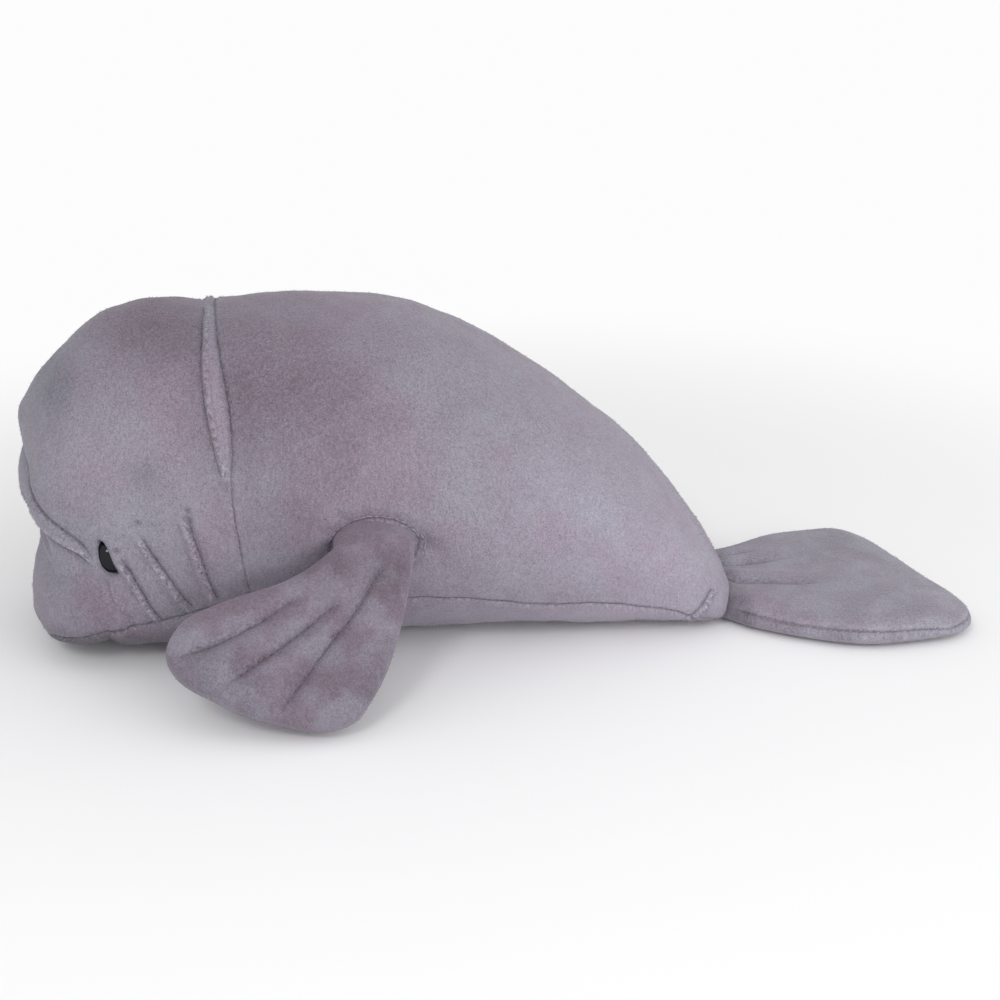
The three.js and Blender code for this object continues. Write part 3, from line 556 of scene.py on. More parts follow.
def rib_points(ribs, across, along):
    """Plan of a limb between ribs, with rounded corners; across and along run from 0 to 1."""
    ribs = np.array(ribs, float)
    along = along * (1 - 0.12 * np.abs(2 * across - 1) ** 5)
    through = np.stack([spline(rib, along * (len(rib) - 1)) for rib in ribs])
    place = across * (len(ribs) - 1)
    index = np.clip(place.astype(int), 0, len(ribs) - 2)
    share = (place - index)[..., None]
    pick = [np.clip(index + k, 0, len(ribs) - 1) for k in (-1, 0, 1, 2)]
    columns = np.arange(len(across))
    return catmull(*[through[k, columns] for k in pick], share)


def round_edge(distance, width):
    return np.sqrt(1 - (1 - np.clip(distance / width, 0, 1)) ** 2)


def pillow_grid(across_steps, along_steps, crowding=1.6):
    """A limb's two sides as one closed skin: its grid places and triangles."""
    along = 1 - (1 - np.linspace(0, 1, along_steps + 1)) ** crowding
    across = 0.5 - 0.5 * np.cos(np.pi * np.linspace(0, 1, across_steps + 1))
    across = 0.35 * across + 0.65 * np.linspace(0, 1, across_steps + 1)
    across, along = np.meshgrid(across, along)
    count = across.size
    top = np.arange(count).reshape(across.shape)
    sheet = split(top[:-1, :-1], top[:-1, 1:], top[1:, 1:], top[1:, :-1])
    rim = np.concatenate([top[0, ::-1], top[1:, 0], top[-1, 1:], top[-2:0:-1, -1]])
    rim = np.append(rim, rim[0])
    band = split(rim[:-1], rim[1:], rim[1:] + count, rim[:-1] + count)
    return (np.tile(across.ravel(), 2), np.tile(along.ravel(), 2), np.repeat([1.0, -1.0], count),
            np.vstack([sheet[:, ::-1], sheet + count, band[:, ::-1]]))


# Filling: a short cloth simulation swells each form between its seams


def mesh_object(name, points, faces, material=None, smooth=False, shown=True):
    """An object whose mesh has its points, in metres, where they stand in the scene."""
    mesh = bpy.data.meshes.new(name)
    mesh.from_pydata(points.tolist(), [], faces.tolist())
    if smooth:
        mesh.shade_smooth()
    if material:
        mesh.materials.append(material)
    made = bpy.data.objects.new(name, mesh)
    if shown:
        bpy.context.scene.collection.objects.link(made)
    return made


def swollen(skin, held, pressure, most):
    """How far the filling moves each point of a coarse skin, at most. held is 1 at seams."""
    scene = bpy.context.scene
    form = mesh_object("filling_form", skin.points * MM, skin.faces)
    pins = form.vertex_groups.new(name="seams")
    for index in np.nonzero(held > 0.02)[0].tolist():
        pins.add([index], float(held[index]), "REPLACE")
    cloth = form.modifiers.new("filling", "CLOTH")
    settings = cloth.settings
    settings.quality = 6
    settings.mass = 0.2
    settings.tension_stiffness = settings.compression_stiffness = 18
    settings.shear_stiffness = 6
    settings.bending_stiffness = 0.6
    settings.air_damping = 4
    settings.use_pressure = True
    settings.uniform_pressure_force = pressure
    settings.vertex_group_mass = "seams"
    settings.effector_weights.gravity = 0
    cloth.collision_settings.use_collision = False
    cloth.point_cache.frame_start, cloth.point_cache.frame_end = 1, CLOTH_STEPS
    for moment in range(1, CLOTH_STEPS + 1):
        scene.frame_set(moment)
    swelled = form.evaluated_get(bpy.context.evaluated_depsgraph_get())
    places = np.empty(len(skin.points) * 3)
    swelled.data.vertices.foreach_get("co", places)
    move = places.reshape(-1, 3) / MM - skin.points
    scene.frame_set(1)
    mesh = form.data
    bpy.data.objects.remove(form)
    bpy.data.meshes.remove(mesh)
    moved = np.linalg.norm(move, axis=1, keepdims=True)
    return move * np.minimum(1, most / np.maximum(moved, 1e-9))


def nearest(points, wanted, count):
    """Indices and distances of the points nearest to each wanted one."""
    tree = kdtree.KDTree(len(points))
    for index, point in enumerate(points.tolist()):
        tree.insert(point, index)
    tree.balance()
    for point in np.asarray(wanted).tolist():
        found = tree.find_n(point, count)
        yield [row[1] for row in found], [row[2] for row in found]


def spread(points, moves, wanted):
    """Moves known at some points, carried over to others near them."""
    carried = np.empty((len(wanted), 3))
    for row, (picked, gaps) in enumerate(nearest(points, wanted, 5)):
        weights = np.array([1 / (gap**2 + 1.0) for gap in gaps])
        carried[row] = (weights[:, None] * moves[picked]).sum(0) / weights.sum()
    return carried
    return carried


# Settings


def colour(red, green, blue):
    """A colour written as screen values, 0 to 255."""
    return tuple(((v / 255 + 0.055) / 1.055) ** 2.4 if v > 10 else v / 255 / 12.92
                 for v in (red, green, blue))


def tint(label, text, value):
    return bpy.props.FloatVectorProperty(name=label, description=text, subtype="COLOR", size=3,
                                         min=0.0, max=1.0, default=colour(*value))


def number(label, text, value, low, high, **kind):
    return bpy.props.FloatProperty(name=label, description=text, default=value, min=low, max=high,
                                   **kind)


def length(label, text, value, low, high):
    """A length given in millimetres."""
    return number(label, text, value * MM, low * MM, high * MM, unit="LENGTH", precision=5)


class ManateeSizes(bpy.types.PropertyGroup):
    seam_depth: length("Seam depth", "How far a sewn seam draws the fabric in", 0.9, 0, 4)
    tuck_depth: length("Tuck depth", "Depth of the tucks sewn into the cheeks", 0.9, 0, 4)
    fold_height: length("Neck fold height", "How far the fold at the neck stands up", 2.0, 0, 6)
    lid_height: length("Lid height", "How far the fabric rises over the rim of the eye", 3.3, 2, 5)
    channel_depth: length("Channel depth", "Depth of the channels sewn into a flipper", 2.6, 0, 5)
    lumps: length("Lumps", "Unevenness of the filling under the fabric", 0.55, 0, 2)
    turn_in: length("Turn-in", "How far the fabric turns in at a seam", 3.0, 1, 6)
    swell: length("Swell", "The most that the filling may push the fabric out", 2.2, 0, 8)
    pressure: number("Filling pressure", "Pressure of the filling in the cloth simulation",
                     4, 0, 20)
    grain: length("Pile grain", "Height of the grain that the pile gives", 0.45, 0, 1)
    pile_length: length("Pile length", "Length of the fibres that stand off the fabric",
                        0.75, 0.3, 3)
    pile_width: length("Fibre width", "Width of a tuft of fibres at its root", 0.17, 0.05, 0.5)
    pile_count: number("Fibres per square centimetre", "Tufts of fibres on open fabric", 17, 0, 60)
    bristle_count: number("Fibres along seams", "Added tufts per square centimetre at a seam",
                          95, 0, 300)
    stitch_length: length("Stitch length", "Length of one stitch", 1.9, 0.5, 5)
    stitch_spacing: length("Stitch spacing", "Distance from one stitch to the next", 2.7, 1, 8)
    thread_width: length("Thread width", "Thickness of the sewing thread", 0.32, 0.1, 1)


class ManateeColours(bpy.types.PropertyGroup):
    cool: tint("Cool pile", "Pile brushed one way, which looks cool grey", (135, 135, 145))
    mauve: tint("Mauve pile", "Pile brushed the other way, which looks mauve", (137, 124, 138))
    muzzle_cool: tint("Cool muzzle", "Cool pile of the muzzle", (133, 132, 142))
    muzzle_mauve: tint("Mauve muzzle", "Mauve pile of the muzzle", (134, 120, 135))
    under: tint("Underside", "Cool pile of the belly", (137, 135, 146))
    flipper_cool: tint("Cool flipper", "Cool pile of the flippers", (123, 119, 130))
    flipper_mauve: tint("Mauve flipper", "Mauve pile of the flippers", (119, 106, 119))
    tail_cool: tint("Cool tail", "Cool pile of the tail", (137, 137, 147))
    tail_mauve: tint("Mauve tail", "Mauve pile of the tail", (138, 129, 141))
    eye: tint("Eye", "Polished plastic of the eyes", (12, 12, 20))
    thread: tint("Thread", "Sewing thread in seams and channels", (102, 94, 106))
    pale_thread: tint("Loose thread", "Thread that shows at the flippers' roots", (155, 149, 161))
    washer: tint("Washer", "Plastic of the washers behind the eyes", (214, 211, 204))


class ManateeStage(bpy.types.PropertyGroup):
    floor: tint("Floor", "Plain pale floor", (249, 249, 250))
    key: number("Key light", "Power of the large light above on the right", 4, 0, 100, unit="POWER")
    fill: number("Fill light", "Power of the large, low light in front", 11, 0, 100, unit="POWER")
    glint: number("Glint", "Power of the small lamp that shows in the eyes", 2.6, 0, 20,
                  unit="POWER")
    sky: number("Sky", "Strength of the even light from all round", 0.7, 0, 3)
    backdrop: number("Backdrop", "Brightness of the backdrop as the camera sees it", 0.98, 0, 1)
    azimuth: number("Camera azimuth", "Camera's angle round the toy", math.radians(-8),
                    -math.pi, math.pi, unit="ROTATION")
    elevation: number("Camera elevation", "Camera's angle above the floor", math.radians(20),
                      -math.pi / 2, math.pi / 2, unit="ROTATION")
    distance: length("Camera distance", "From the camera to the point that it looks at",
                     750, 200, 5000)


# Materials


def feed(tree, node, inputs):
    """Sets a node's inputs to values, or links them to sockets."""
    for name, value in inputs.items():
        if isinstance(value, bpy.types.NodeSocket):
            tree.links.new(value, node.inputs[name])
        else:
            node.inputs[name].default_value = value


def add(tree, kind, inputs=(), **settings):
    node = tree.nodes.new(kind)
    for key, value in settings.items():
        setattr(node, key, value)
    feed(tree, node, dict(inputs))
    return node


def maths(tree, operation, first, second=0.0):
    inputs = {0: first, 1: second}
    return add(tree, "ShaderNodeMath", inputs, operation=operation).outputs[0]


def plus(tree, base, value, weight, clamp=False):
    """base + value * weight"""
    return add(tree, "ShaderNodeMath", {0: value, 1: weight, 2: base}, operation="MULTIPLY_ADD",
               use_clamp=clamp).outputs[0]


def centred(tree, value):
    return maths(tree, "SUBTRACT", value, 0.5)


def scaled(tree, vector, factor):
    return add(tree, "ShaderNodeVectorMath", {0: vector, 3: factor}, operation="SCALE").outputs[0]


def summed(tree, first, second):
    return add(tree, "ShaderNodeVectorMath", {0: first, 1: second}, operation="ADD").outputs[0]


def noise(tree, place, scale, detail=3.0, roughness=0.55):
    return add(tree, "ShaderNodeTexNoise", {"Vector": place, "Scale": scale, "Detail": detail,
                                            "Roughness": roughness}).outputs["Fac"]


def stretched(tree, place, scale):
    """Places along which a pattern is drawn out in height."""
    return add(tree, "ShaderNodeMapping", {"Vector": place, "Scale": (1.0, 1.0, scale)}).outputs[0]


def bumped(tree, height, strength, distance):
    return add(tree, "ShaderNodeBump", {"Height": height, "Strength": strength,
                                        "Distance": distance}).outputs[0]


def held_at_points(tree, name):
    """The three numbers of a mesh attribute."""
    held = add(tree, "ShaderNodeAttribute", attribute_name=name).outputs["Vector"]
    return add(tree, "ShaderNodeSeparateXYZ", {0: held}).outputs


def blank_material(name):
    material = bpy.data.materials.new(name)
    material.use_nodes = True
    tree = material.node_tree
    tree.nodes.clear()
    shader = tree.nodes.new("ShaderNodeBsdfPrincipled")
    output = tree.nodes.new("ShaderNodeOutputMaterial")
    tree.links.new(shader.outputs[0], output.inputs[0])
    place = tree.nodes.new("ShaderNodeTexCoord").outputs["Object"]
    return material, tree, shader, place


def sewn(tree, place, name, one_sided):
    """Darkness of sewn lines and of the painted shade along them, and lightness beside them, from
    distances in millimetres.
    """
    held = held_at_points(tree, name)
    gap = plus(tree, held[0], centred(tree, noise(tree, place, RAGGED, 3.0, 0.7)), 1.5)

    def falling(distance, width):
        square = maths(tree, "MULTIPLY", distance, distance)
        return maths(tree, "EXPONENT", maths(tree, "MULTIPLY", square, -1 / width**2))

    shade = maths(tree, "MULTIPLY", falling(gap, SHADE), 0.2)
    dark = plus(tree, shade, falling(gap, LINE), 0.8)
    if one_sided:
        pale = falling(maths(tree, "ADD", gap, TUCK_PALE[0]), TUCK_PALE[1])
    else:
        pale = falling(maths(tree, "SUBTRACT", maths(tree, "ABSOLUTE", gap), PALE[0]), PALE[1])
    return maths(tree, "MULTIPLY", dark, held[1]), maths(tree, "MULTIPLY", pale, held[1])


def plush(name, cool, mauve, sizes, brushed=0.5, mottle=0.2, crisp=1.0, fluffy=6.0):
    """Short-pile plush: brushed patches, grain, ragged pile beside sewn lines, painted light and
    shade from the points' values, soft sheen.
    """
    material, tree, shader, place = blank_material(name)
    marks = held_at_points(tree, "pile")
    seam_dark, seam_pale = sewn(tree, place, "seams", False)
    tuck_dark, tuck_pale = sewn(tree, place, "tucks", True)
    dark = maths(tree, "MAXIMUM", seam_dark, tuck_dark)
    pale = plus(tree, tuck_pale, seam_pale, 0.4)
    blotch = noise(tree, place, BLOTCH, 2.0)
    patch = centred(tree, noise(tree, place, PATCH, 2.0, 0.45))
    patch = maths(tree, "MINIMUM", maths(tree, "MULTIPLY", patch, crisp), 0.28)
    patch = maths(tree, "MAXIMUM", patch, -0.28)
    lay = noise(tree, stretched(tree, place, 0.5), LAY, 2.0, 0.6)
    grain = noise(tree, place, GRAIN, 2.0, 0.7)
    mix = plus(tree, 0.5, marks[0], 0.5)
    mix = plus(tree, mix, centred(tree, blotch), 2.2 * brushed)
    mix = plus(tree, mix, patch, 1.6 * brushed, True)
    hue = add(tree, "ShaderNodeMix", {"Factor": mix, 6: (*cool, 1), 7: (*mauve, 1)},
              data_type="RGBA").outputs[2]
    fluff = noise(tree, place, FLUFF, 3.0, 0.75)
    tufted = maths(tree, "MULTIPLY", pale, plus(tree, -0.45 * fluffy, fluff, fluffy))
    # Tone: the points' lightness with its painted light and shade, brushed patches, lay, grain,
    # pale fluffed pile, painted crease shade, and sewn lines with their painted shade.
    tone = plus(tree, 1.0, marks[1], 1.9)
    for value, weight in ((patch, -mottle), (centred(tree, lay), 0.55), (centred(tree, grain), 1.3),
                          (tufted, 0.9), (marks[2], -0.45), (dark, -0.5)):
        tone = plus(tree, tone, value, weight)
    height = plus(tree, grain, lay, 0.5)
    height = plus(tree, height, dark, -0.9)
    height = plus(tree, height, tufted, 0.8)
    feed(tree, shader, {
        "Base Color": scaled(tree, hue, maths(tree, "MAXIMUM", tone, 0.2)),
        "Roughness": plus(tree, 0.78, grain, 0.2), "Normal": bumped(tree, height, 0.8, sizes.grain),
        "Specular IOR Level": 0.16, "Sheen Weight": 0.3, "Sheen Roughness": 0.45,
        "Sheen Tint": (0.86, 0.82, 0.9, 1)})
    return material


def spun(name, shade, scale=2600.0):
    """Thread or single fibres: fine twisted strands with a faint gloss."""
    material, tree, shader, place = blank_material(name)
    twist = noise(tree, place, scale, 2.0)
    feed(tree, shader, {
        "Base Color": scaled(tree, tuple(shade), plus(tree, 0.65, twist, 0.7)),
        "Normal": bumped(tree, twist, 0.4, 0.0001), "Roughness": plus(tree, 0.6, twist, 0.2),
        "Sheen Weight": 0.25})
    return material


def moulded(name, shade, roughness, marks, specular=0.5):
    """Moulded plastic with faint flow marks and hairline scratches."""
    material, tree, shader, place = blank_material(name)
    flow = noise(tree, place, 260.0, 2.0)
    scratch = noise(tree, stretched(tree, place, 0.08), 4200.0, 2.0)
    feed(tree, shader, {
        "Base Color": scaled(tree, tuple(shade), plus(tree, 0.85, flow, 0.3)),
        "Roughness": plus(tree, roughness, scratch, marks), "Specular IOR Level": specular,
        "Normal": bumped(tree, scratch, 0.08, 0.00002)})
    return material


# Objects


# The covers' skins, before they are closed, for the standing pile.
SHOWN_FABRIC = {}


def fabric_object(name, skin, material):
    """A skin's mesh, with the values that its material and its standing pile read."""
    made = mesh_object(name, skin.points * MM, skin.faces, material, True)
    # The pile attribute holds mauve, lightness with painted light and shade in it, and painted
    # crease shade.
    marks = np.stack([skin.values["mauve"], skin.values["light"], skin.values["crease"]], 1)
    zero = np.zeros(len(skin.points))
    for label, held in (("pile", marks), ("seams", np.column_stack([skin.values["seams"], zero])),
                        ("tucks", np.column_stack([skin.values["tucks"], zero]))):
        made.data.attributes.new(label, "FLOAT_VECTOR", "POINT").data.foreach_set(
            "vector", held.astype(np.float32).ravel())
    made.data.attributes.new("bristle", "FLOAT", "POINT").data.foreach_set(
        "value", skin.values["bristle"].astype(np.float32))
    return made


def cover(name, skin, material, sizes, nodes, body="trunk"):
    """A padded cover, closed over its filling. It rides on its body, if it has one."""
    SHOWN_FABRIC[name] = skin
    made = fabric_object(name, skin.closed(sizes.turn_in / MM), material)
    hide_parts(*nodes)
    if body:
        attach(made, body)
    return made


# Trunk: head, body, chin and belly are cut from one skin over the hull


def brushed_and_painted_light_marks(points):
    """Mauve and lightness at each point, from brushed patches of pile and from patches of painted
    light and shade.
    """
    mauve, light = np.zeros(len(points)), np.zeros(len(points))
    for x, z, reach_x, reach_z, to_mauve, lighter in BRUSHED_AND_PAINTED_LIGHT_PATCHES:
        share = spot(points, x, z, reach_x, reach_z)
        mauve += to_mauve * share
        light += lighter * share
    return np.clip(mauve, -1, 1), light


def eye_gap(points):
    """Signed distance in side view to the opening between the lids, under 0 in it."""
    place = points[:, [0, 2]]
    outline = np.array(EYE_OPENING)
    outline = np.vstack([outline, outline[:1]])
    distance = np.full(len(place), 1e9)
    crossings = np.zeros(len(place), int)
    for start, end in zip(outline[:-1], outline[1:]):
        run, offset = end - start, place - start
        share = np.clip(offset @ run / (run @ run), 0, 1)
        distance = np.minimum(distance, np.linalg.norm(offset - share[:, None] * run, axis=1))
        spans = (start[1] <= place[:, 1]) != (end[1] <= place[:, 1])
        at = start[0] + run[0] * (place[:, 1] - start[1]) / (run[1] if run[1] else 1e-9)
        crossings += spans & (place[:, 0] < at)
    distance = np.where(crossings % 2 == 1, -distance, distance)
    return np.where(np.abs(points[:, 1]) > 20, distance, 50.0)


class Relief:
    """Folds, seams and marks worked into a skin, point by point, in millimetres; creases get
    painted shade and ridges painted highlights.
    """

    def __init__(self, skin, sizes):
        self.points, self.sizes = skin.points, sizes
        count = len(skin.points)
        self.rise, self.crease, self.bristle = np.zeros((3, count))
        self.mauve, self.light = brushed_and_painted_light_marks(skin.points)
        self.lines = {"seams": no_lines(count), "tucks": no_lines(count)}

    def on_flank(self, distance, inner=FLANK):
        """A distance in side view that holds on both flanks, and not near the middle."""
        return np.where(np.abs(self.points[:, 1]) > inner, distance, FAR)

    def line(self, family, distance, strength):
        """A sewn line that shows in the pile, at a signed distance from each point."""
        add_line(self.lines[family], distance, strength)

    def seam(self, distance, share=1.0, width=1.1):
        depth = self.sizes.seam_depth / MM
        self.rise -= depth * share * (0.7 * bell(distance, width) + 0.3 * bell(distance, 4.5))
        pucker = ripple(self.points, 6.5, 11)
        self.rise += 0.2 * share * pucker * bell(distance, 6.0)
        self.line("seams", distance, share * np.ones(len(self.points)))
        self.bristle += 0.8 * share * bell(np.abs(distance) - 1.4, 1.0)
        # The fabric either side of the seam is painted a little lighter.
        self.light += 0.02 * share * bell(np.abs(distance) - 2.0, 1.2)

    def tuck(self, path, width, depth_share=1.0):
        """A sewn fold along a path in side view, with raised pile ahead of it."""
        x, z = self.points[:, 0], self.points[:, 2]
        low, high = np.min(path, axis=0) - 10, np.max(path, axis=0) + 10
        near = (x > low[0]) & (x < high[0]) & (z > low[1]) & (z < high[1])
        near &= np.abs(self.points[:, 1]) > FLANK
        _, side, along = beside(path, self.points[near][:, [0, 2]])
        depth = self.sizes.tuck_depth / MM * depth_share
        taper = smooth(0, 0.1, along) * smooth(0, 0.08, 1 - along)
        uneven = 1 + 0.45 * ripple(self.points[near], 3.0, 23)
        ridge = bell(side + 1.1 * width, 0.8 * width)
        ahead = bell(side + 2.4 * width, 1.2)
        self.rise[near] += taper * (0.62 * width * ridge * uneven - depth * bell(side, 0.9)
                                    - 0.4 * depth * ahead)
        # Painted shade in the fold and in the dip ahead of the ridge, and a painted highlight on
        # the raised ridge.
        self.crease[near] += taper * (0.12 * bell(side - 0.4, 1.2) + 0.1 * ahead)
        self.bristle[near] += taper * 2.6 * ridge
        self.light[near] += 0.13 * taper * ridge * uneven
        distance, strength = np.full(len(x), FAR), np.zeros(len(x))
        distance[near], strength[near] = side, taper
        self.line("tucks", distance, strength)

    def dimple(self, x, z, radius, depth, dark=0.9):
        # A dimple drawn in, with painted shade in it.
        away = self.on_flank(np.hypot(self.points[:, 0] - x, self.points[:, 2] - z))
        self.rise -= depth * bell(away, radius)
        self.crease += dark * bell(away, 0.9 * radius)

    def lids(self):
        """The fabric stands up round the eye and draws in at the opening's edge."""
        x, z = EYE_CENTRE
        away = self.on_flank(np.hypot(self.points[:, 0] - x, self.points[:, 2] - z))
        self.rise += self.sizes.lid_height / MM * (1 - smooth(2.5, 11, away))
        gap = eye_gap(self.points)
        self.rise -= 0.4 * bell(gap, 0.6)
        # Painted shade along the edge of the opening, where the fabric draws in.
        self.crease += 0.55 * bell(gap, 0.6) + 0.1 * bell(gap, 2.6)

    def values(self):
        return dict(mauve=np.clip(self.mauve, -1, 1), light=self.light, **self.lines,
                    crease=np.clip(self.crease, 0, 1), bristle=np.clip(self.bristle, 0, 3))


def no_lines(count):
    """Signed distance and strength of the sewn line next to each point: none yet."""
    return np.tile([FAR, 0.0], (count, 1))


def add_line(held, distance, strength):
    """Keeps the nearer of two lines at each point; one that hardly shows counts as farther away."""
    shown = strength * (1 - smooth(2.4, 4.0, np.abs(distance)))
    new, old = (np.abs(gap) + 6.0 * (force < 0.04) for gap, force in ((distance, shown), held.T))
    nearer = new < old
    held[nearer] = np.column_stack([distance, shown])[nearer]


def raise_brow(relief):
    """The roll of fabric above the muzzle runs round the face from eye to eye."""
    x, z = relief.points[:, 0], relief.points[:, 2]
    top, foot = table(BROW_TOP, x), table(BROW_FOOT, x)
    height = table(BROW_HEIGHT, x) * (x < -161.6)
    share = (z - foot) / np.maximum(top - foot, 1.0)
    roll = np.sqrt(np.clip(4 * share * (1 - share), 0, 1)) * ((share > 0) & (share < 1))
    strength = np.clip(height / 1.3, 0, 1)
    relief.rise += height * roll * (1 - 0.25 * share)
    near = (x < -158) & (z > 40) & (z < 92)
    flank_only = 0.35 + 0.65 * smooth(-192, -186, x)
    # Both edges of the roll are sewn lines drawn in, with painted shade along them.
    for path, family, up, dark, wide in ((BROW_TOP, "seams", 1, 0.75, 1.4),
                                         (BROW_FOOT, "tucks", -1, 0.9, 1.1)):
        distance = np.full(len(x), FAR)
        _, distance[near], _ = beside(path, relief.points[near][:, [0, 2]])
        relief.line(family, up * distance, dark * strength * flank_only)
        relief.rise -= 0.75 * strength * bell(distance, wide)
        relief.crease += 0.22 * strength * flank_only * bell(distance, 1.6)
    # Along the crest: raised fabric, standing pile and a painted highlight.
    crest = bell(share - 0.3, 0.17) * strength * near
    relief.rise += 0.35 * crest
    relief.bristle += 1.1 * crest
    relief.light += 0.12 * crest
    relief.rise -= 2.6 * bell(z - 84, 9.5) * smooth(-180, -190, x)


def fold_neck(relief):
    """The fold ahead of the neck seam. Returns how far each point lies behind the seam."""
    x, z = relief.points[:, 0], relief.points[:, 2]
    seam, front = at_height(NECK_SEAM, z), at_height(NECK_FOLD_FRONT, z)
    behind, ahead = x - seam, x - front
    side = smooth(3, 9, np.abs(relief.points[:, 1]))
    scale = relief.sizes.fold_height / MM
    strength = table(NECK_FOLD_HEIGHT, z) / max(height for _, height in NECK_FOLD_HEIGHT) * side
    share = ahead / np.maximum(seam - front, 0.5)
    roll = np.clip(4 * share * (1 - share), 0, 1) ** 0.5 * ((share > 0) & (share < 1))
    lines = bell(share - 0.38, 0.06) + 0.7 * bell(share - 0.66, 0.05)
    edges = bell(ahead, 1.0) + bell(behind, 1.0)
    relief.rise += strength * (scale * roll - 0.3 * lines - 0.6 * edges)
    relief.rise -= 0.7 * strength * (bell(ahead + 3, 5.0) + bell(behind - 3, 5.0))
    # Painted shade in the creases at the fold's edges and inner lines, a painted highlight along
    # the roll, and painted shade beside it.
    relief.crease += strength * (0.1 * bell(ahead + 0.6, 1.5) + 0.1 * bell(behind - 0.6, 1.5)
                                 + 0.14 * lines)
    beside_it = bell(ahead + 5, 6) + bell(behind - 5, 6)
    relief.light += 0.13 * strength * roll - 0.03 * strength * beside_it
    relief.bristle += 0.9 * strength * roll
    relief.line("tucks", -ahead, 0.7 * smooth(0.1, 0.4, strength))
    top = smooth(124, 136, z) * (behind < 0)
    relief.rise -= 1.0 * top * np.exp(np.minimum(behind, 0) / 9)
    low = smooth(88, 70, z)
    tuft = spot(relief.points, -111, 80.5, 2.6, 2.4) * (side > 0.5)
    relief.rise += 0.9 * tuft
    relief.bristle += 3.0 * tuft
    relief.light += 0.05 * tuft
    ragged = bell(z - 71, 12) * bell(behind, 2.0)
    relief.bristle += 1.8 * ragged
    relief.light += 0.1 * ragged
    relief.seam(behind, 0.35 + 0.2 * np.maximum(strength, low * 0.7), 1.0)
    return behind


def melt(relief, other, reach=46.0):
    """Head and muzzle run into each other: both swell a little where they meet."""
    x, y, z = relief.points.T
    within = inside_share(other, relief.points)
    near = np.clip((within - 1) * reach / MUZZLE_BLEND, 0, 1)
    relief.rise += MUZZLE_BLEND / 4 * (1 - near) ** 2 * smooth(6, 24, z) * (x < -128)
    distance, strength = np.full(len(x), FAR), np.zeros(len(x))
    face = (x < -140) & (z < 52) & (np.abs(y) > 25)
    _, distance[face], along = beside(MUZZLE_SEAM, relief.points[face][:, [0, 2]])
    strength[face] = 0.35 * smooth(0, 0.05, along) * smooth(0, 0.05, 1 - along)
    relief.line("seams", distance, strength)
    relief.rise -= 0.6 * strength * bell(distance, 1.2)


def gather_roots(relief):
    """Where flippers and tail are sewn in, the body's fabric is drawn in and puckered."""
    (root_x, root_z), (reach_x, reach_z) = ROOT_CENTRE, ROOT_OPENING
    x, z = relief.points[:, 0] - root_x, relief.points[:, 2] - root_z
    edge = relief.on_flank((np.hypot(x / reach_x, z / reach_z) - 1) * 12, 20)
    relief.rise -= 1.4 * bell(edge, 3.2)
    relief.rise += 0.35 * np.sin(np.arctan2(z, x) * 13) * bell(edge - 3, 3.5)
    # Painted shade round the root's edge.
    relief.crease += 0.22 * bell(edge - 0.5, 1.8)
    relief.line("seams", edge - 0.4, 0.7 * np.ones(len(x)))
    for dimple in ROOT_DIMPLES:
        relief.dimple(*dimple)
    relief.tuck(np.array(TAIL_TUCK), 1.5, 0.7)


def hull_gap(points):
    """Height over the seam between flank and underside."""
    return points[:, 2] - table(UNDER_SEAM, points[:, 0])


def settled(skin, relief, moves):
    """The skin with its relief and swell, resting on the floor."""
    points = above(skin.points + (skin.normals * relief.rise[:, None] + moves), FLOOR)
    return Skin(points, skin.normals, skin.faces, **relief.values())


def swell_of(form, skin, held, sizes, spacing, columns):
    """The filling's push on a skin over a form, less its mean, so that the form keeps its size."""
    coarse = form_skin(form, lambda x: np.full_like(x, spacing), columns)
    pins = held(coarse.points)
    moves = swollen(coarse, pins, sizes.pressure, sizes.swell / MM)
    free = pins < 0.3
    mean = (moves * coarse.normals).sum(1)[free].mean()
    moves -= coarse.normals * (mean * (1 - pins))[:, None]
    return spread(coarse.points, moves, skin.points)


def trunk_held(points):
    behind = points[:, 0] - at_height(NECK_SEAM, points[:, 2])
    resting = (points[:, 2] < 1.5) * 1.0
    return np.clip(bell(behind, 3.5) + bell(hull_gap(points), 3.5) + resting, 0, 1)


def finished(made, within, **levels):
    """A skin of head or muzzle, without tufts where it lies inside the other one."""
    bristle = made.values["bristle"] * (within > 0.99) + BARE * (within < 0.97)
    made.values.update(bristle=bristle, **levels)
    return made


def trunk_skin(sizes):
    """The whole trunk's skin with its levels: behind the neck seam, above the underside seam."""
    skin = form_skin(HULL, lambda x: np.where(x < -100, HEAD_SPACING, BODY_SPACING), TRUNK_COLUMNS)
    relief = Relief(skin, sizes)
    x, z = skin.points[:, 0], skin.points[:, 2]
    lumps = ripple(skin.points, 34, 3) + 0.4 * ripple(skin.points, 13, 4)
    relief.rise += sizes.lumps / MM * lumps
    relief.rise -= 2.6 * bell(x - 22, 36) * smooth(45, 85, z) + 2.4 * smooth(17, 3, z) * (x < -112)
    behind = fold_neck(relief)
    raise_brow(relief)
    melt(relief, MUZZLE)
    for path, width in CHEEK_TUCKS:
        relief.tuck(np.array(path), width)
    for x, z, radius in CHEEK_DIMPLES:
        relief.dimple(x, z, radius, DIMPLE_DEPTH)
    gather_roots(relief)
    under = hull_gap(skin.points)
    relief.seam(under, 0.9)
    relief.lids()
    made = settled(skin, relief, swell_of(HULL, skin, trunk_held, sizes, *TRUNK_COARSE))
    return finished(made, inside_share(MUZZLE, skin.points), behind=behind, under=under,
                    eye=eye_gap(skin.points))


def muzzle_held(points):
    held = bell(hull_gap(points), 3.5) + (points[:, 2] < 1.0) + bell(points[:, 0] + 146, 8)
    return np.clip(held, 0, 1)


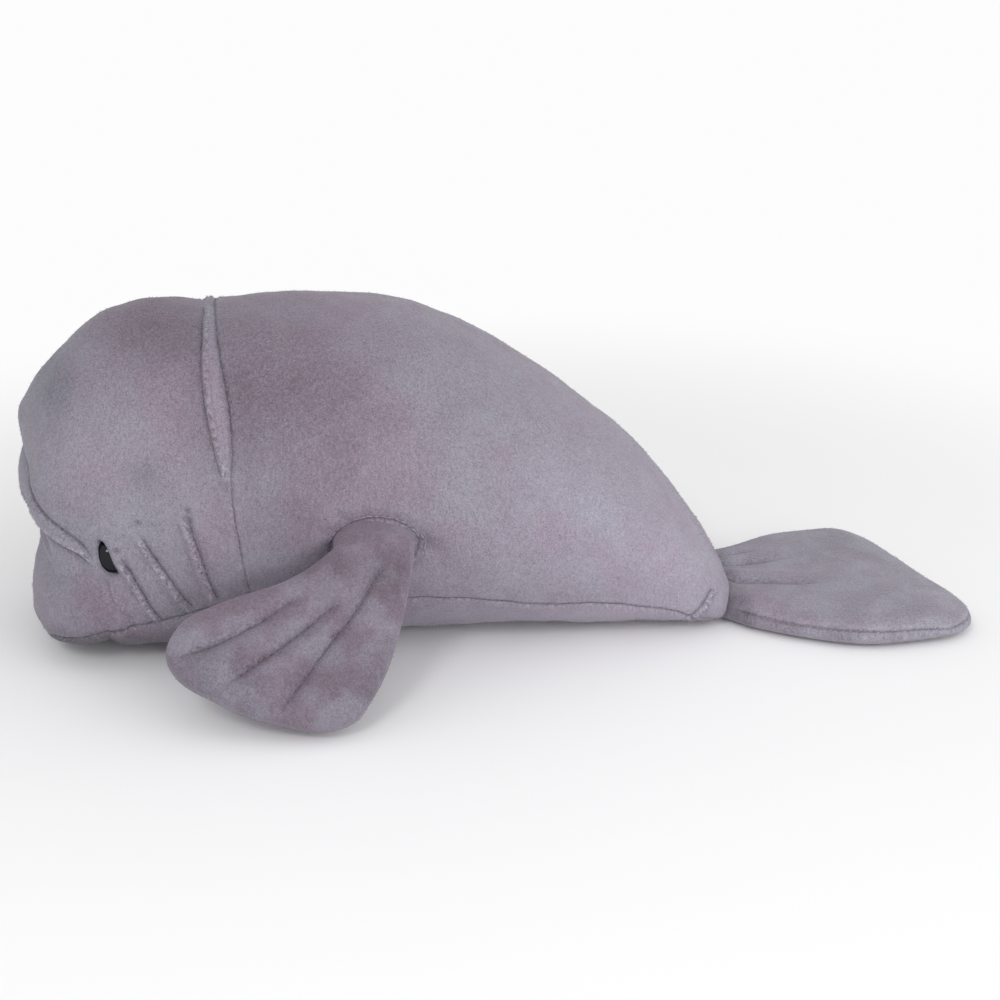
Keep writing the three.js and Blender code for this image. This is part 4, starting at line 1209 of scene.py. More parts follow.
def muzzle_skin(sizes):
    """The muzzle's skin. Its levels match the trunk's, and all of it is ahead of the neck."""
    skin = form_skin(MUZZLE, lambda x: np.full_like(x, MUZZLE_SPACING), MUZZLE_COLUMNS)
    relief = Relief(skin, sizes)
    lumps = ripple(skin.points, 22, 7) + 0.35 * ripple(skin.points, 9, 8)
    relief.rise += 0.8 * sizes.lumps / MM * lumps
    under = hull_gap(skin.points)
    melt(relief, HULL)
    relief.seam(under, 0.75, 1.1)
    x, z = skin.points[:, 0], skin.points[:, 2]
    relief.rise -= 3.4 * smooth(-174, -156, x) * smooth(32, 14, z) + 2.4 * smooth(17, 3, z)
    relief.lids()
    moves = swell_of(MUZZLE, skin, muzzle_held, sizes, *MUZZLE_COARSE)
    within = inside_share(HULL, skin.points)
    made = settled(skin, relief, moves * (0.7 * smooth(1.0, 1.12, within))[:, None])
    return finished(made, within, behind=x + 60, under=under, eye=eye_gap(skin.points))


SKINS = {}


def skin_of(name, make, sizes):
    """A skin that several operators read, made once."""
    if name not in SKINS:
        SKINS[name] = make(sizes)
    return SKINS[name]


class CoverOperator:
    """What the operators of the covers share."""

    bl_options = {"REGISTER", "UNDO"}

    def shared(self, context):
        scene = context.scene
        return scene.manatee_sizes, scene.manatee_colours


class ManateeHead(CoverOperator, bpy.types.Operator):
    """Make the head's cover, with brow, neck fold, cheek tucks and the openings of the eyes"""

    bl_idname = "manatee.make_head"
    bl_label = "Head"

    def execute(self, context):
        sizes, colours = self.shared(context)
        head = parted(skin_of("trunk", trunk_skin, sizes), behind=-1, under=1, eye=1)
        material = plush("head_plush", colours.cool, colours.mauve, sizes)
        cover("head_cover", head, material, sizes,
              ["head_panel_left", "head_panel_right", "head_stuffing"])
        return {"FINISHED"}


class ManateeMuzzle(CoverOperator, bpy.types.Operator):
    """Make the muzzle's cover, which is sewn on below the brow"""

    bl_idname = "manatee.make_muzzle"
    bl_label = "Muzzle"

    def execute(self, context):
        sizes, colours = self.shared(context)
        muzzle = parted(skin_of("muzzle", muzzle_skin, sizes), under=1, eye=1)
        material = plush("muzzle_plush", colours.muzzle_cool, colours.muzzle_mauve, sizes)
        cover("muzzle_cover", muzzle, material, sizes,
              ["muzzle_panel", "muzzle_stuffing"])
        return {"FINISHED"}


class ManateeChin(CoverOperator, bpy.types.Operator):
    """Make the chin's cover, below the mouth seam"""

    bl_idname = "manatee.make_chin"
    bl_label = "Chin"

    def execute(self, context):
        sizes, colours = self.shared(context)
        throat = parted(skin_of("trunk", trunk_skin, sizes), behind=-1, under=-1)
        chin = parted(skin_of("muzzle", muzzle_skin, sizes), under=-1)
        material = plush("chin_plush", colours.muzzle_cool, colours.muzzle_mauve, sizes)
        cover("chin_cover", joined([throat, chin]), material, sizes,
              ["chin_panel"])
        return {"FINISHED"}


class ManateeBody(CoverOperator, bpy.types.Operator):
    """Make the body's cover, from the neck seam to the tail"""

    bl_idname = "manatee.make_body"
    bl_label = "Body"

    def execute(self, context):
        sizes, colours = self.shared(context)
        body = parted(skin_of("trunk", trunk_skin, sizes), behind=1, under=1)
        material = plush("body_plush", colours.cool, colours.mauve, sizes)
        cover("body_cover", body, material, sizes,
              ["body_panel_left", "body_panel_right", "body_stuffing"])
        return {"FINISHED"}


class ManateeBelly(CoverOperator, bpy.types.Operator):
    """Make the belly's cover, which rests flat on the floor"""

    bl_idname = "manatee.make_belly"
    bl_label = "Belly"

    def execute(self, context):
        sizes, colours = self.shared(context)
        belly = parted(skin_of("trunk", trunk_skin, sizes), behind=1, under=-1)
        material = plush("under_plush", colours.under, colours.mauve, sizes, 0.3, 0.12)
        cover("belly_cover", belly, material, sizes, ["belly_panel"])
        return {"FINISHED"}


class ManateeEyes(CoverOperator, bpy.types.Operator):
    """Make the polished eyes on their shanks, and finish the washers behind them"""

    bl_idname = "manatee.make_eyes"
    bl_label = "Eyes"

    def execute(self, context):
        _, colours = self.shared(context)
        gloss = moulded("eye_plastic", colours.eye, 0.07, 0.04, 0.3)
        normal = flank_normals(*EYE_CENTRE)
        centre = flank(*EYE_CENTRE) - normal * EYE_SINK
        angles = np.linspace(0, np.pi / 2, 22)
        rows = [[0, -SHANK_LENGTH], [SHANK_RADIUS - 0.4, -SHANK_LENGTH],
                [SHANK_RADIUS, 0.4 - SHANK_LENGTH], [SHANK_RADIUS, -0.5],
                [SHANK_RADIUS + 0.5, 0], [EYE_RADIUS - 0.35, 0]]
        rows += [[EYE_RADIUS * math.cos(angle), 0.15 + (EYE_DOME - 0.15) * math.sin(angle)]
                 for angle in angles]
        points, faces = lathe(np.array(rows), 64)
        turn = Vector((0, 0, 1)).rotation_difference(Vector(normal))
        placed = np.array([turn @ Vector(point) for point in points]) + centre
        for name, sign in (("left", -1), ("right", 1)):
            side = placed * np.array([1, sign, 1])
            _, facing = outward(side, faces)
            made = mesh_object(f"eye_{name}_dome", side * MM, facing, gloss, True)
            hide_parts(f"eye_{name}")
            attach(made, "trunk")
        plastic = moulded("washer_plastic", colours.washer, 0.45, 0.15)
        for name in ("eye_washer_left", "eye_washer_right"):
            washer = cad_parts[name]
            if not washer.data.materials:
                washer.data.materials.append(plastic)
            for place in washer.material_slots:
                place.material = plastic
        return {"FINISHED"}


# Flippers and tail: sewn pillows whose roots bend out of the body


def limb_plan(ribs, size, across, share, scallop=1.0):
    """A limb's plan in millimetres, its width at each point, and how far its side and end are."""
    within = np.clip(share, 0, 1)
    plan = rib_points(ribs, across, within * scallop) * size
    left, right = (rib_points(ribs, np.full_like(across, end), within) for end in (0.0, 1.0))
    tip, root = (rib_points(ribs, across, np.full_like(across, end)) for end in (1.0, 0.0))
    width = np.linalg.norm((left - right) * size, axis=1)
    long = np.linalg.norm((tip - root) * size, axis=1)
    return plan.T, width, np.minimum(across, 1 - across) * width, (1 - share) * long


def limb_skin(make, held, sizes, grid, coarse_grid, lowest, share):
    """A limb's skin at full fineness, swelled as its coarse form is between seams and channels."""
    across, along, side, faces = pillow_grid(*coarse_grid)
    coarse = above(make(across, along, side, sizes)[0], lowest)
    pins = held(across, along)
    normals, turned = outward(coarse, faces)
    moves = swollen(Skin(coarse, normals, turned), pins, sizes.pressure, 0.7 * sizes.swell / MM)
    mean = (moves * normals).sum(1).mean()
    moves -= normals * (mean * (1 - pins))[:, None]
    across, along, side, faces = pillow_grid(*grid)
    points, values = make(across, along, side, sizes)
    points = above(points + spread(coarse, share * moves, above(points, lowest)), lowest)
    normals, faces = outward(points, faces)
    return Skin(points, normals, faces, **values)


def limb_line(reach):
    """A flipper's centre line in end view: out, up and slope, at distances from the hinge."""
    steps = np.linspace(-24, 110, 1400)
    droop = math.radians(FLIPPER_DROOP)
    slope = droop * smooth(-FLIPPER_BEND, FLIPPER_BEND, steps)
    gaps = np.diff(steps, prepend=steps[0])
    out, up = np.cumsum(np.cos(slope) * gaps), np.cumsum(-np.sin(slope) * gaps)
    at = FLIPPER_STRAIGHT
    out += FLIPPER_AXIS[1] + at * math.cos(droop) - np.interp(at, steps, out)
    up += FLIPPER_AXIS[2] - at * math.sin(droop) - np.interp(at, steps, up)
    return tuple(np.interp(reach, steps, line) for line in (out, up, slope))


def flipper_points(across, along, side, sizes):
    share = -FLIPPER_INSIDE + (1 + FLIPPER_INSIDE) * along
    scallop = 1 - 0.006 * np.cos(8 * np.pi * across) * smooth(0.6, 1, share)
    size = np.array([FLIPPER_REACH, FLIPPER_LENGTH])
    (forward, out), width, edge, end_gap = limb_plan(FLIPPER_RIBS, size, across, share, scallop)
    soft = FLIPPER_EDGE + (width / 2 - FLIPPER_EDGE) * (1 - smooth(0, 0.3, share))
    rim = round_edge(edge, np.minimum(soft, width / 2)) * round_edge(end_gap, FLIPPER_END)
    thinner = FLIPPER_THICKNESS - FLIPPER_ROOT_THICKNESS
    full = FLIPPER_ROOT_THICKNESS + thinner * smooth(0, 0.4, share)
    half = RIM + (full - RIM) * rim
    crease, bristle = np.zeros((2, len(across)))
    lines = no_lines(len(across))
    depth = sizes.channel_depth / MM
    for place, start, end in FLIPPER_CHANNELS:
        taper = smooth(start - 0.1, start + 0.2, share)
        taper = taper * (1 - smooth(end - 0.12, end + 0.04, share))
        away = (across - place) * width
        half -= depth * taper * rim * (0.42 * bell(away, 1.2) + 0.8 * bell(away, 4.6))
        # Painted shade in each channel, and in the dimple where it begins.
        crease += taper * 0.16 * bell(away, 2.6)
        bristle += 0.3 * taper * bell(np.abs(away) - 1.4, 0.8)
        gather = bell(np.hypot(away, (share - start) * FLIPPER_LENGTH), 2.4) * (side > 0)
        half -= 1.3 * gather
        crease += 0.35 * gather
        add_line(lines, away, 0.85 * taper)
    half = np.maximum(half, 0.5)
    reach = out + np.minimum(share, 0) * FLIPPER_LENGTH
    flat = np.stack([forward, reach, np.zeros_like(reach)], 1)
    wave = smooth(0.15, 0.8, share) * 1.5 * ripple(flat, 52, 31)
    pull = 0.5 * ripple(np.stack([forward, reach, side * 30], 1), 16, 33) * rim
    pleats = np.stack([across * 70, 0 * across, side * 9], 1)
    rise = side * (half + pull + 0.3 * ripple(pleats, 11, 39) * bell(share, 0.13)) + wave
    line_out, line_up, slope = limb_line(reach)
    points = np.stack([FLIPPER_AXIS[0] - forward, -(line_out + np.sin(slope) * rise),
                       line_up + np.cos(slope) * rise], 1)
    # The lower side is painted darker, as shade. The root, the front edge and a spot on the first
    # lobe are lighter; a band near the root and a patch towards the rear edge are darker.
    light = np.where(side > 0, 0.0, -0.04) + 0.03 * ripple(flat, 40, 35)
    light += (0.06 * bell(across - 0.03, 0.1) * smooth(0.1, 0.4, share)
              + 0.11 * (1 - smooth(-0.02, 0.14, share)))
    light += 0.07 * bell(across - 0.2, 0.1) * bell(share - 0.42, 0.16)
    light -= (0.1 * bell(across - 0.8, 0.16) * bell(share - 0.22, 0.1)
              + 0.04 * bell(share - 0.2, 0.12))
    mauve = 0.25 * ripple(flat, 30, 37) + 0.25 - 0.8 * bell(share - 0.95, 0.12)
    # Painted shade where the flipper goes into the body.
    crease = crease + 0.25 * bell(share + 0.03, 0.05)
    return points, dict(mauve=np.clip(mauve, -1, 1), light=light, crease=np.clip(crease, 0, 1),
                        bristle=bristle, seams=no_lines(len(across)), tucks=lines,
                        share=share, across=across, side=side)


def flipper_held(across, along):
    channels = sum(bell((across - place) * 60, 3) for place, _, _ in FLIPPER_CHANNELS)
    rim = bell(np.minimum(across, 1 - across) * 60, 4) + bell((1 - along) * 72, 4)
    return np.clip(channels + rim + bell(along, 0.2), 0, 1)


def flipper_skin(sizes):
    return limb_skin(flipper_points, flipper_held, sizes, FLIPPER_GRID, FLIPPER_COARSE,
                     FLIPPER_FLOOR, 0.8)


class ManateeFlippers(CoverOperator, bpy.types.Operator):
    """Make both flippers, with their sewn channels and gathered roots"""

    bl_idname = "manatee.make_flippers"
    bl_label = "Flippers"

    def execute(self, context):
        sizes, colours = self.shared(context)
        left = skin_of("flipper", flipper_skin, sizes)
        material = plush("flipper_plush", colours.flipper_cool, colours.flipper_mauve, sizes,
                         0.75, 0.3, 3.2, 2.0)
        for name, sign, skin in (("left", -1, left), ("right", 1, left.mirrored())):
            nodes = [f"flipper_{name}_{layer}" for layer in ("upper", "lower", "stuffing")]
            made = cover(f"flipper_{name}_cover", skin, material, sizes, nodes,
                         None)
            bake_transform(made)
        return {"FINISHED"}


def tail_points(across, along, side, sizes):
    share = -TAIL_INSIDE + (1 + TAIL_INSIDE) * along
    size = np.array([TAIL_LENGTH, TAIL_WIDTH / 2])
    (back, out), width, edge, end = limb_plan(TAIL_RIBS, size, across, share)
    rim = (round_edge(edge, TAIL_EDGE) * round_edge(end, TAIL_END)) ** 1.25
    top = TAIL_TOP + 0.6 * (1 - smooth(-0.05, 0.3, share))
    crease, fold = np.zeros((2, len(across)))
    pleats, rim_seam = no_lines(len(across)), no_lines(len(across))
    for place, reach, depth in TAIL_PLEATS:
        taper = (1 - smooth(0.25 * reach, reach, share)) * smooth(-0.1, 0.0, share)
        away = (across - place) * width
        fold += depth * taper * (0.8 * bell(away, 1.5) + 0.4 * bell(away, 5.5)
                                 - 0.5 * bell(away - 5.5, 3.4))
        # Painted shade in each pleat.
        crease += taper * 0.16 * bell(away, 2.4) * (side > 0)
        add_line(pleats, -away, 0.6 * taper * (side > 0))
    rise = np.where(side > 0, RIM + (top - RIM) * rim - fold * rim,
                    RIM + (TAIL_ROOT[2] - RIM) * rim)
    end_gap = np.minimum(edge, end)
    add_line(rim_seam, side * end_gap - 1.3, 0.8 * smooth(-0.1, 0.0, share))
    rise = rise - 0.4 * bell(end_gap, 1.4)
    # Painted shade along the sewn rim.
    crease += 0.05 * bell(end_gap, 1.2)
    back = back + np.minimum(share, 0) * TAIL_LENGTH
    out = out * (1 + 2.6 * np.minimum(share, 0))
    flat = np.stack([back, out, np.zeros_like(back)], 1)
    rise += np.where(side > 0, 1.0, 0.2) * sizes.lumps / MM * ripple(flat, 24, 41) * rim
    lift = 1.2 * smooth(0.35, 1, share) * (0.5 + 0.5 * ripple(flat, 70, 43))
    points = np.stack([TAIL_ROOT[0] + back, out, TAIL_ROOT[2] + side * rise + lift], 1)
    # The root, where the tail goes into the body, is painted darker, as shade; a band just inside
    # the rim is lighter, and a stripe on the right half darker.
    light = 0.04 + 0.02 * ripple(flat, 30, 45) - 0.14 * (1 - smooth(-0.02, 0.08, share))
    light += (0.05 * bell(end_gap - 2.6, 1.4)
              - 0.04 * bell(across - 0.62, 0.12) * smooth(0.3, 0.6, share))
    mauve = (0.9 * bell(share - 0.15, 0.22) * bell(across - 0.16, 0.22) - 0.15
             + 0.4 * bell(end_gap - 4, 3))
    return points, dict(mauve=np.clip(mauve, -1, 1), light=light, crease=np.clip(crease, 0, 1),
                        bristle=0.4 * bell(end_gap - 3.2, 1.3) * (side > 0), seams=rim_seam,
                        tucks=pleats, share=share, across=across, side=side)


def tail_held(across, along):
    rim = bell(np.minimum(across, 1 - across) * 100, 5) + bell((1 - along) * 90, 5)
    return np.clip(rim + bell(along, 0.2), 0, 1)


def tail_skin(sizes):
    return limb_skin(tail_points, tail_held, sizes, TAIL_GRID, TAIL_COARSE, FLOOR, 0.7)


class ManateeTail(CoverOperator, bpy.types.Operator):
    """Make the paddle tail, gathered in pleats at its root"""

    bl_idname = "manatee.make_tail"
    bl_label = "Tail"

    def execute(self, context):
        sizes, colours = self.shared(context)
        material = plush("tail_plush", colours.tail_cool, colours.tail_mauve, sizes,
                         0.4, 0.22, 3.0, 3.0)
        made = cover("tail_cover", skin_of("tail", tail_skin, sizes), material, sizes,
                     ["tail_upper", "tail_lower", "tail_stuffing"], None)
        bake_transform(made)
        return {"FINISHED"}


# Stitches and pile, repeated by Geometry Nodes


def node_group(name, sockets):
    """A node tree that takes geometry and inputs given as (name, type, default)."""
    tree = bpy.data.node_groups.new(name, "GeometryNodeTree")
    for way in ("INPUT", "OUTPUT"):
        tree.interface.new_socket("Geometry", in_out=way, socket_type="NodeSocketGeometry")
    identifiers = {}
    for label, kind, value in sockets:
        socket = tree.interface.new_socket(label, in_out="INPUT", socket_type=f"NodeSocket{kind}")
        if value is not None:
            socket.default_value = value
        identifiers[label] = socket.identifier
    return tree, identifiers, tree.nodes.new("NodeGroupInput").outputs


def random_float(tree, low, high, seed):
    return add(tree, "FunctionNodeRandomValue", {2: low, 3: high, "Seed": seed},
               data_type="FLOAT").outputs[1]


def random_vector(tree, low, high, seed):
    return add(tree, "FunctionNodeRandomValue", {0: low, 1: high, "Seed": seed},
               data_type="FLOAT_VECTOR").outputs[0]


def end_with_copies(tree, points, copied, way, size, material):
    """Ends a tree with copies of an object that stand along a direction, as one mesh."""
    turn = add(tree, "FunctionNodeAlignRotationToVector", {"Vector": way}, axis="Z").outputs[0]
    source = add(tree, "GeometryNodeObjectInfo", {"Object": copied}).outputs["Geometry"]
    placed = add(tree, "GeometryNodeInstanceOnPoints", {
        "Points": points, "Instance": source, "Rotation": turn, "Scale": size}).outputs[0]
    real = add(tree, "GeometryNodeRealizeInstances", {0: placed}).outputs[0]
    add(tree, "NodeGroupOutput", {0: add(tree, "GeometryNodeSetMaterial", {
        "Geometry": real, "Material": material}).outputs[0]})


def repeated(name, source, tree, identifiers, values):
    """What a node tree makes from a source object, as a plain mesh object without its source."""
    modifier = source.modifiers.new(tree.name, "NODES")
    modifier.node_group = tree
    for label, value in values.items():
        modifier[identifiers[label]] = value
    bpy.context.view_layer.update()
    graph = bpy.context.evaluated_depsgraph_get()
    mesh = bpy.data.meshes.new_from_object(source.evaluated_get(graph), depsgraph=graph)
    mesh.name = name
    held = source.data
    bpy.data.objects.remove(source)
    (bpy.data.curves if isinstance(held, bpy.types.Curve) else bpy.data.meshes).remove(held)
    if not mesh.polygons:
        raise RuntimeError(f"{name} came out empty")
    made = bpy.data.objects.new(name, mesh)
    bpy.context.scene.collection.objects.link(made)
    return made


def small_form(name, rows, sides):
    """A small closed form turned round +Z, kept out of the scene, for a tree to repeat."""
    points, faces = lathe(np.array(rows, float), sides)
    return mesh_object(name, points * MM, outward(points, faces)[1], shown=False)


def stitch_tree():
    tree, identifiers, given = node_group("sewn_stitches", [
        ("Spacing", "Float", 0.003), ("Stitch", "Object", None), ("Unevenness", "Float", 0.2),
        ("Thread", "Material", None), ("Seed", "Int", STITCH_SEED)])
    path = add(tree, "GeometryNodeResampleCurve", {
        "Curve": given["Geometry"], "Length": given["Spacing"]}, mode="LENGTH").outputs[0]
    tangent = add(tree, "GeometryNodeInputTangent").outputs[0]
    least, most = (maths(tree, operation, 1.0, given["Unevenness"])
                   for operation in ("SUBTRACT", "ADD"))
    size = random_float(tree, least, most, given["Seed"])
    stray = random_vector(tree, (-0.14,) * 3, (0.14,) * 3, given["Seed"])
    end_with_copies(tree, path, given["Stitch"], summed(tree, tangent, stray), size,
                    given["Thread"])
    return tree, identifiers


def pile_tree():
    tree, identifiers, given = node_group("standing_pile", [
        ("Density", "Float", 1000.0), ("Seam Density", "Float", 1000.0),
        ("Lay", "Vector", (0.6, 0.0, -0.3)), ("Tousle", "Float", 0.5),
        ("Fibre", "Object", None), ("Pile", "Material", None), ("Seed", "Int", PILE_SEED)])
    bristle = add(tree, "GeometryNodeInputNamedAttribute", {"Name": "bristle"},
                  data_type="FLOAT").outputs[0]
    added = maths(tree, "MULTIPLY", bristle, given["Seam Density"])
    density = maths(tree, "MAXIMUM", maths(tree, "ADD", added, given["Density"]), 0.0)
    scattered = add(tree, "GeometryNodeDistributePointsOnFaces", {
        "Mesh": given["Geometry"], "Density": density, "Seed": given["Seed"]}).outputs
    least, most = (add(tree, "ShaderNodeCombineXYZ", {axis: reach for axis in range(3)}).outputs[0]
                   for reach in (maths(tree, "MULTIPLY", given["Tousle"], -1.0), given["Tousle"]))
    stray = random_vector(tree, least, most, given["Seed"])
    way = summed(tree, summed(tree, given["Lay"], stray), scattered["Normal"])
    size = random_float(tree, 0.65, 1.25, given["Seed"])
    size = maths(tree, "MULTIPLY", size, plus(tree, 1.0, bristle, 0.3))
    end_with_copies(tree, scattered["Points"], given["Fibre"], way, size, given["Pile"])
    return tree, identifiers


def curve_object(name, paths):
    """Paths in millimetres as one curve object."""
    curve = bpy.data.curves.new(name, "CURVE")
    curve.dimensions = "3D"
    for path in paths:
        run = curve.splines.new("POLY")
        run.points.add(len(path) - 1)
        places = np.column_stack([np.array(path) * MM, np.ones(len(path))])
        run.points.foreach_set("co", places.ravel())
    made = bpy.data.objects.new(name, curve)
    bpy.context.scene.collection.objects.link(made)
    return made


def resting_on(skin, path, lift=0.05):
    """A path brought onto the nearest points of a skin."""
    laid = []
    for picked, gaps in nearest(skin.points, path, 4):
        weights = np.array([1 / (gap + 0.2) for gap in gaps])
        weights = weights[:, None] / weights.sum()
        on_skin, normal = ((rows[picked] * weights).sum(0) for rows in (skin.points, skin.normals))
        laid.append(on_skin + lift * normal)
    return np.array(laid)


def both_sides(path):
    return [path, path * MIRROR]


def hull_path(drawn, steps=40):
    """Points on the hull, on the side of -Y, along a line drawn in side view."""
    drawn = finer(drawn, max(2, steps // max(1, len(drawn) - 1)))
    return flank(drawn[:, 0], drawn[:, 1]) * MIRROR


def root_arc(low, high):
    """The row of stitches round a flipper's root, between two angles."""
    angle = np.radians(np.linspace(low, high, 30))
    (x, z), (reach_x, reach_z) = ROOT_CENTRE, ROOT_STITCHES
    return hull_path(np.stack([x + reach_x * np.cos(angle), z + reach_z * np.sin(angle)], 1), 30)


def limb_rows(skin, place, side, low, high, count=40):
    """Points along a limb at one place across it, on the upper (1) or lower (-1) side."""
    values = skin.values
    rows = []
    for share in np.linspace(low, high, count):
        away = ((values["across"] - place) * 3) ** 2 + (values["share"] - share) ** 2
        away = np.where(values["side"] == side, away, 9)
        rows.append(skin.points[away.argmin()])
    return np.array(rows)


class ManateeStitching(CoverOperator, bpy.types.Operator):
    """Sew stitches along the seams, the channels and the roots of the flippers"""

    bl_idname = "manatee.make_stitching"
    bl_label = "Stitching"

    def execute(self, context):
        sizes, colours = self.shared(context)
        trunk, flipper, tail = (skin_of(name, make, sizes) for name, make in (
            ("trunk", trunk_skin), ("flipper", flipper_skin), ("tail", tail_skin)))
        thread, loose = spun("thread", colours.thread), spun("loose_thread", colours.pale_thread)
        half, width = sizes.stitch_length / MM / 2, sizes.thread_width / MM / 2
        outline = [[0, -half], [0.7 * width, -0.9 * half], [width, -0.3 * half],
                   [width, 0.3 * half], [0.7 * width, 0.9 * half], [0, half]]
        stitch = small_form("stitch_form", outline, 6)
        tree, identifiers = stitch_tree()
        neck = [row for row in NECK_SEAM if NECK_STITCHES[0] < row[1] < NECK_STITCHES[1]]
        belly = [row for row in UNDER_SEAM if BELLY_STITCHES[0] < row[0] < BELLY_STITCHES[1]]
        seams = [resting_on(trunk, side) for drawn in (neck[::-1], belly)
                 for side in both_sides(hull_path(drawn))]
        roots = [resting_on(trunk, side, lift)
                 for path, lift in ((root_arc(*ROOT_ARC), 0.5), (hull_path(LOOSE_ENDS, 12), 0.6))
                 for side in both_sides(path)]
        left = [limb_rows(flipper, place, side, start, end - 0.03)
                for place, start, end in FLIPPER_CHANNELS for side in (1, -1)]
        right = [path * MIRROR for path in left]
        rims = [limb_rows(tail, place, 1, 0.1, 0.93, 60) for place in (0.012, 0.988)]
        for name, paths, material, body, slot, uneven in (
                ("seam_stitches", seams, thread, "trunk", "body_plush", 0.2),
                ("root_stitches", roots, loose, "trunk", "flipper_plush", 0.4),
                ("flipper_left_stitches", left, thread, "flipper_left", "flipper_plush", 0.2),
                ("flipper_right_stitches", right, thread, "flipper_right", "flipper_plush", 0.2),
                ("tail_stitches", rims, thread, "tail", "tail_plush", 0.2)):
            made = repeated(name, curve_object(name + "_path", paths), tree, identifiers,
                            {"Spacing": sizes.stitch_spacing, "Stitch": stitch,
                             "Unevenness": uneven, "Thread": material, "Seed": STITCH_SEED})
            made.data.shade_smooth()
            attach(made, body)
        bpy.data.objects.remove(stitch)
        return {"FINISHED"}


class ManateePile(CoverOperator, bpy.types.Operator):
    """Scatter tufts of standing pile over the covers, closer along the seams"""

    bl_idname = "manatee.make_pile"
    bl_label = "Standing pile"

    def execute(self, context):
        sizes, colours = self.shared(context)
        tree, identifiers = pile_tree()
        long, width = sizes.pile_length / MM, sizes.pile_width / MM / 2
        fibre = small_form("fibre_form", [[0, -0.2], [width, 0.05], [0, long]], 3)
        cool, warm = np.array(colours.cool), np.array(colours.mauve)
        shades = {"trunk": 1.12 * (cool + warm) / 2,
                  "flipper": 1.1 * np.array(colours.flipper_cool),
                  "tail": 1.08 * np.array(colours.tail_cool)}
        materials = {name: spun(f"{name}_pile", shade, 900.0) for name, shade in shades.items()}
        trunk = ["head_cover", "muzzle_cover", "chin_cover", "body_cover", "belly_cover"]
        for body, covers, shade, slot, share in (
                ("trunk", trunk, "trunk", "body_plush", 1.0),
                ("flipper_left", ["flipper_left_cover"], "flipper", "flipper_plush", 0.7),
                ("flipper_right", ["flipper_right_cover"], "flipper", "flipper_plush", 0.7),
                ("tail", ["tail_cover"], "tail", "tail_plush", 0.7)):
            fabric = joined([SHOWN_FABRIC[name] for name in covers])
            fabric.values["bristle"][fabric.points[:, 2] < PRESSED] = BARE
            source = fabric_object(f"{body}_pile_source", fabric, None)
            made = repeated(f"{body}_pile", source, tree, identifiers, {
                "Density": share * (1e4 * sizes.pile_count),
                "Seam Density": 1e4 * sizes.bristle_count, "Lay": PILE_LAY,
                "Tousle": PILE_TOUSLE, "Fibre": fibre, "Pile": materials[shade],
                "Seed": PILE_SEED})
            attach(made, body)
        bpy.data.objects.remove(fibre)
        return {"FINISHED"}


def seen_rays(tree):
    """1 for rays that show the backdrop itself: straight, mirrored or through glass."""
    rays = tree.nodes.new("ShaderNodeLightPath").outputs
    seen = maths(tree, "MAXIMUM", rays["Is Camera Ray"], rays["Is Glossy Ray"])
    return maths(tree, "MAXIMUM", seen, rays["Is Transmission Ray"])


def aim(made, place, forward):
    """Puts a lamp or camera in its place, turned to look forward."""
    made.location = place
    made.rotation_mode = "QUATERNION"
    made.rotation_quaternion = forward.to_track_quat("-Z", "Y")
    bpy.context.scene.collection.objects.link(made)


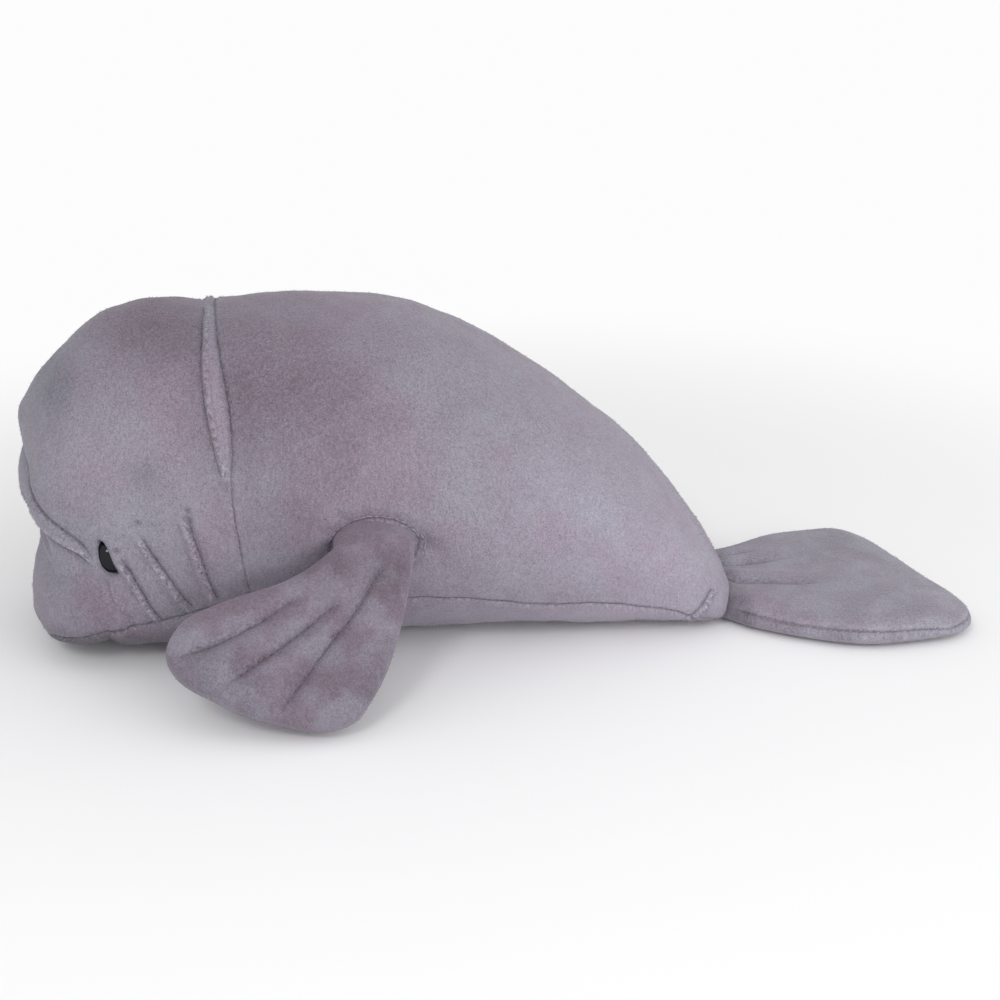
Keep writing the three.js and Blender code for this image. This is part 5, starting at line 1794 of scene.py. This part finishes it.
class ManateeStageMaker(bpy.types.Operator):
    """Set out the plain floor, the soft lights and the camera"""

    bl_idname = "manatee.make_stage"
    bl_label = "Stage"

    def execute(self, context):
        scene = context.scene
        stage = scene.manatee_stage
        material, tree, shader, place = blank_material("floor_paint")
        paper = plus(tree, 0.99, noise(tree, place, 3.0), 0.02)
        feed(tree, shader, {"Base Color": scaled(tree, tuple(stage.floor), paper),
                            "Roughness": 0.9, "Specular IOR Level": 0.1})
        away = add(tree, "ShaderNodeVectorMath", {0: place}, operation="LENGTH").outputs["Value"]
        far = add(tree, "ShaderNodeMapRange", {"Value": away, "From Min": 0.2, "From Max": 0.5},
                  interpolation_type="SMOOTHSTEP").outputs[0]
        bright = add(tree, "ShaderNodeEmission", {"Color": (1, 1, 1, 1),
                                                  "Strength": stage.backdrop})
        mixed = add(tree, "ShaderNodeMixShader", {
            0: maths(tree, "MULTIPLY", far, seen_rays(tree)), 1: shader.outputs[0],
            2: bright.outputs[0]})
        feed(tree, tree.nodes["Material Output"], {"Surface": mixed.outputs[0]})
        steps = np.linspace(-FLOOR_REACH, FLOOR_REACH, 25)
        x, y = np.meshgrid(steps, steps)
        grid = np.arange(x.size).reshape(x.shape)
        faces = np.stack([grid[:-1, :-1], grid[:-1, 1:], grid[1:, 1:], grid[1:, :-1]], -1)
        points = np.stack([x.ravel(), y.ravel(), np.zeros(x.size)], 1)
        floor = mesh_object("floor", points, faces.reshape(-1, 4), material)
        for name, spot_at, size, power in LAMPS:
            lamp = bpy.data.lights.new(name, "AREA")
            lamp.size, lamp.energy = size, getattr(stage, power)
            aim(bpy.data.objects.new(name, lamp), spot_at, LAMP_AIM - Vector(spot_at))
        world = bpy.data.worlds.new("studio")
        world.use_nodes = True
        tree = world.node_tree
        strength = plus(tree, stage.sky, seen_rays(tree), stage.backdrop - stage.sky)
        feed(tree, tree.nodes["Background"], {"Color": (1, 1, 1, 1), "Strength": strength})
        scene.world = world
        level = math.cos(stage.elevation)
        back = Vector((math.sin(stage.azimuth) * level, -math.cos(stage.azimuth) * level,
                       math.sin(stage.elevation)))
        view = bpy.data.cameras.new("camera")
        view.lens, view.sensor_width, view.shift_y = LENS, SENSOR, SHIFT
        view.clip_start, view.clip_end = 0.01, 50
        camera = bpy.data.objects.new("camera", view)
        aim(camera, CAMERA_AIM + back * stage.distance, -back)
        scene.camera = camera
        scene.view_settings.view_transform = "Standard"
        return {"FINISHED"}


MAKERS = (ManateeHead, ManateeMuzzle, ManateeChin, ManateeBody, ManateeBelly, ManateeEyes,
          ManateeFlippers, ManateeTail, ManateeStitching, ManateePile, ManateeStageMaker)
GROUPS = {"manatee_sizes": ManateeSizes, "manatee_colours": ManateeColours,
          "manatee_stage": ManateeStage}


class ManateePanel(bpy.types.Panel):
    """Sizes, colours and makers of the plush manatee"""

    bl_idname = "VIEW3D_PT_manatee"
    bl_label = "Plush manatee"
    bl_space_type = "VIEW_3D"
    bl_region_type = "UI"
    bl_category = "Manatee"

    def draw(self, context):
        for maker in MAKERS:
            self.layout.operator(maker.bl_idname)
        for pointer in GROUPS:
            group = getattr(context.scene, pointer)
            box = self.layout.box()
            box.label(text=pointer.removeprefix("manatee_").title())
            for name in group.bl_rna.properties.keys():
                if name not in ("rna_type", "name"):
                    box.prop(group, name)


CLASSES = (*GROUPS.values(), *MAKERS, ManateePanel)


def register():
    for made in CLASSES:
        bpy.utils.register_class(made)
    for name, group in GROUPS.items():
        setattr(bpy.types.Scene, name, bpy.props.PointerProperty(type=group))


def unregister():
    for name in GROUPS:
        delattr(bpy.types.Scene, name)
    for made in reversed(CLASSES):
        bpy.utils.unregister_class(made)


def main():
    register()
    for maker in MAKERS:
        group, name = maker.bl_idname.split(".")
        getattr(getattr(bpy.ops, group), name)()


if __name__ == "__main__":
    main()
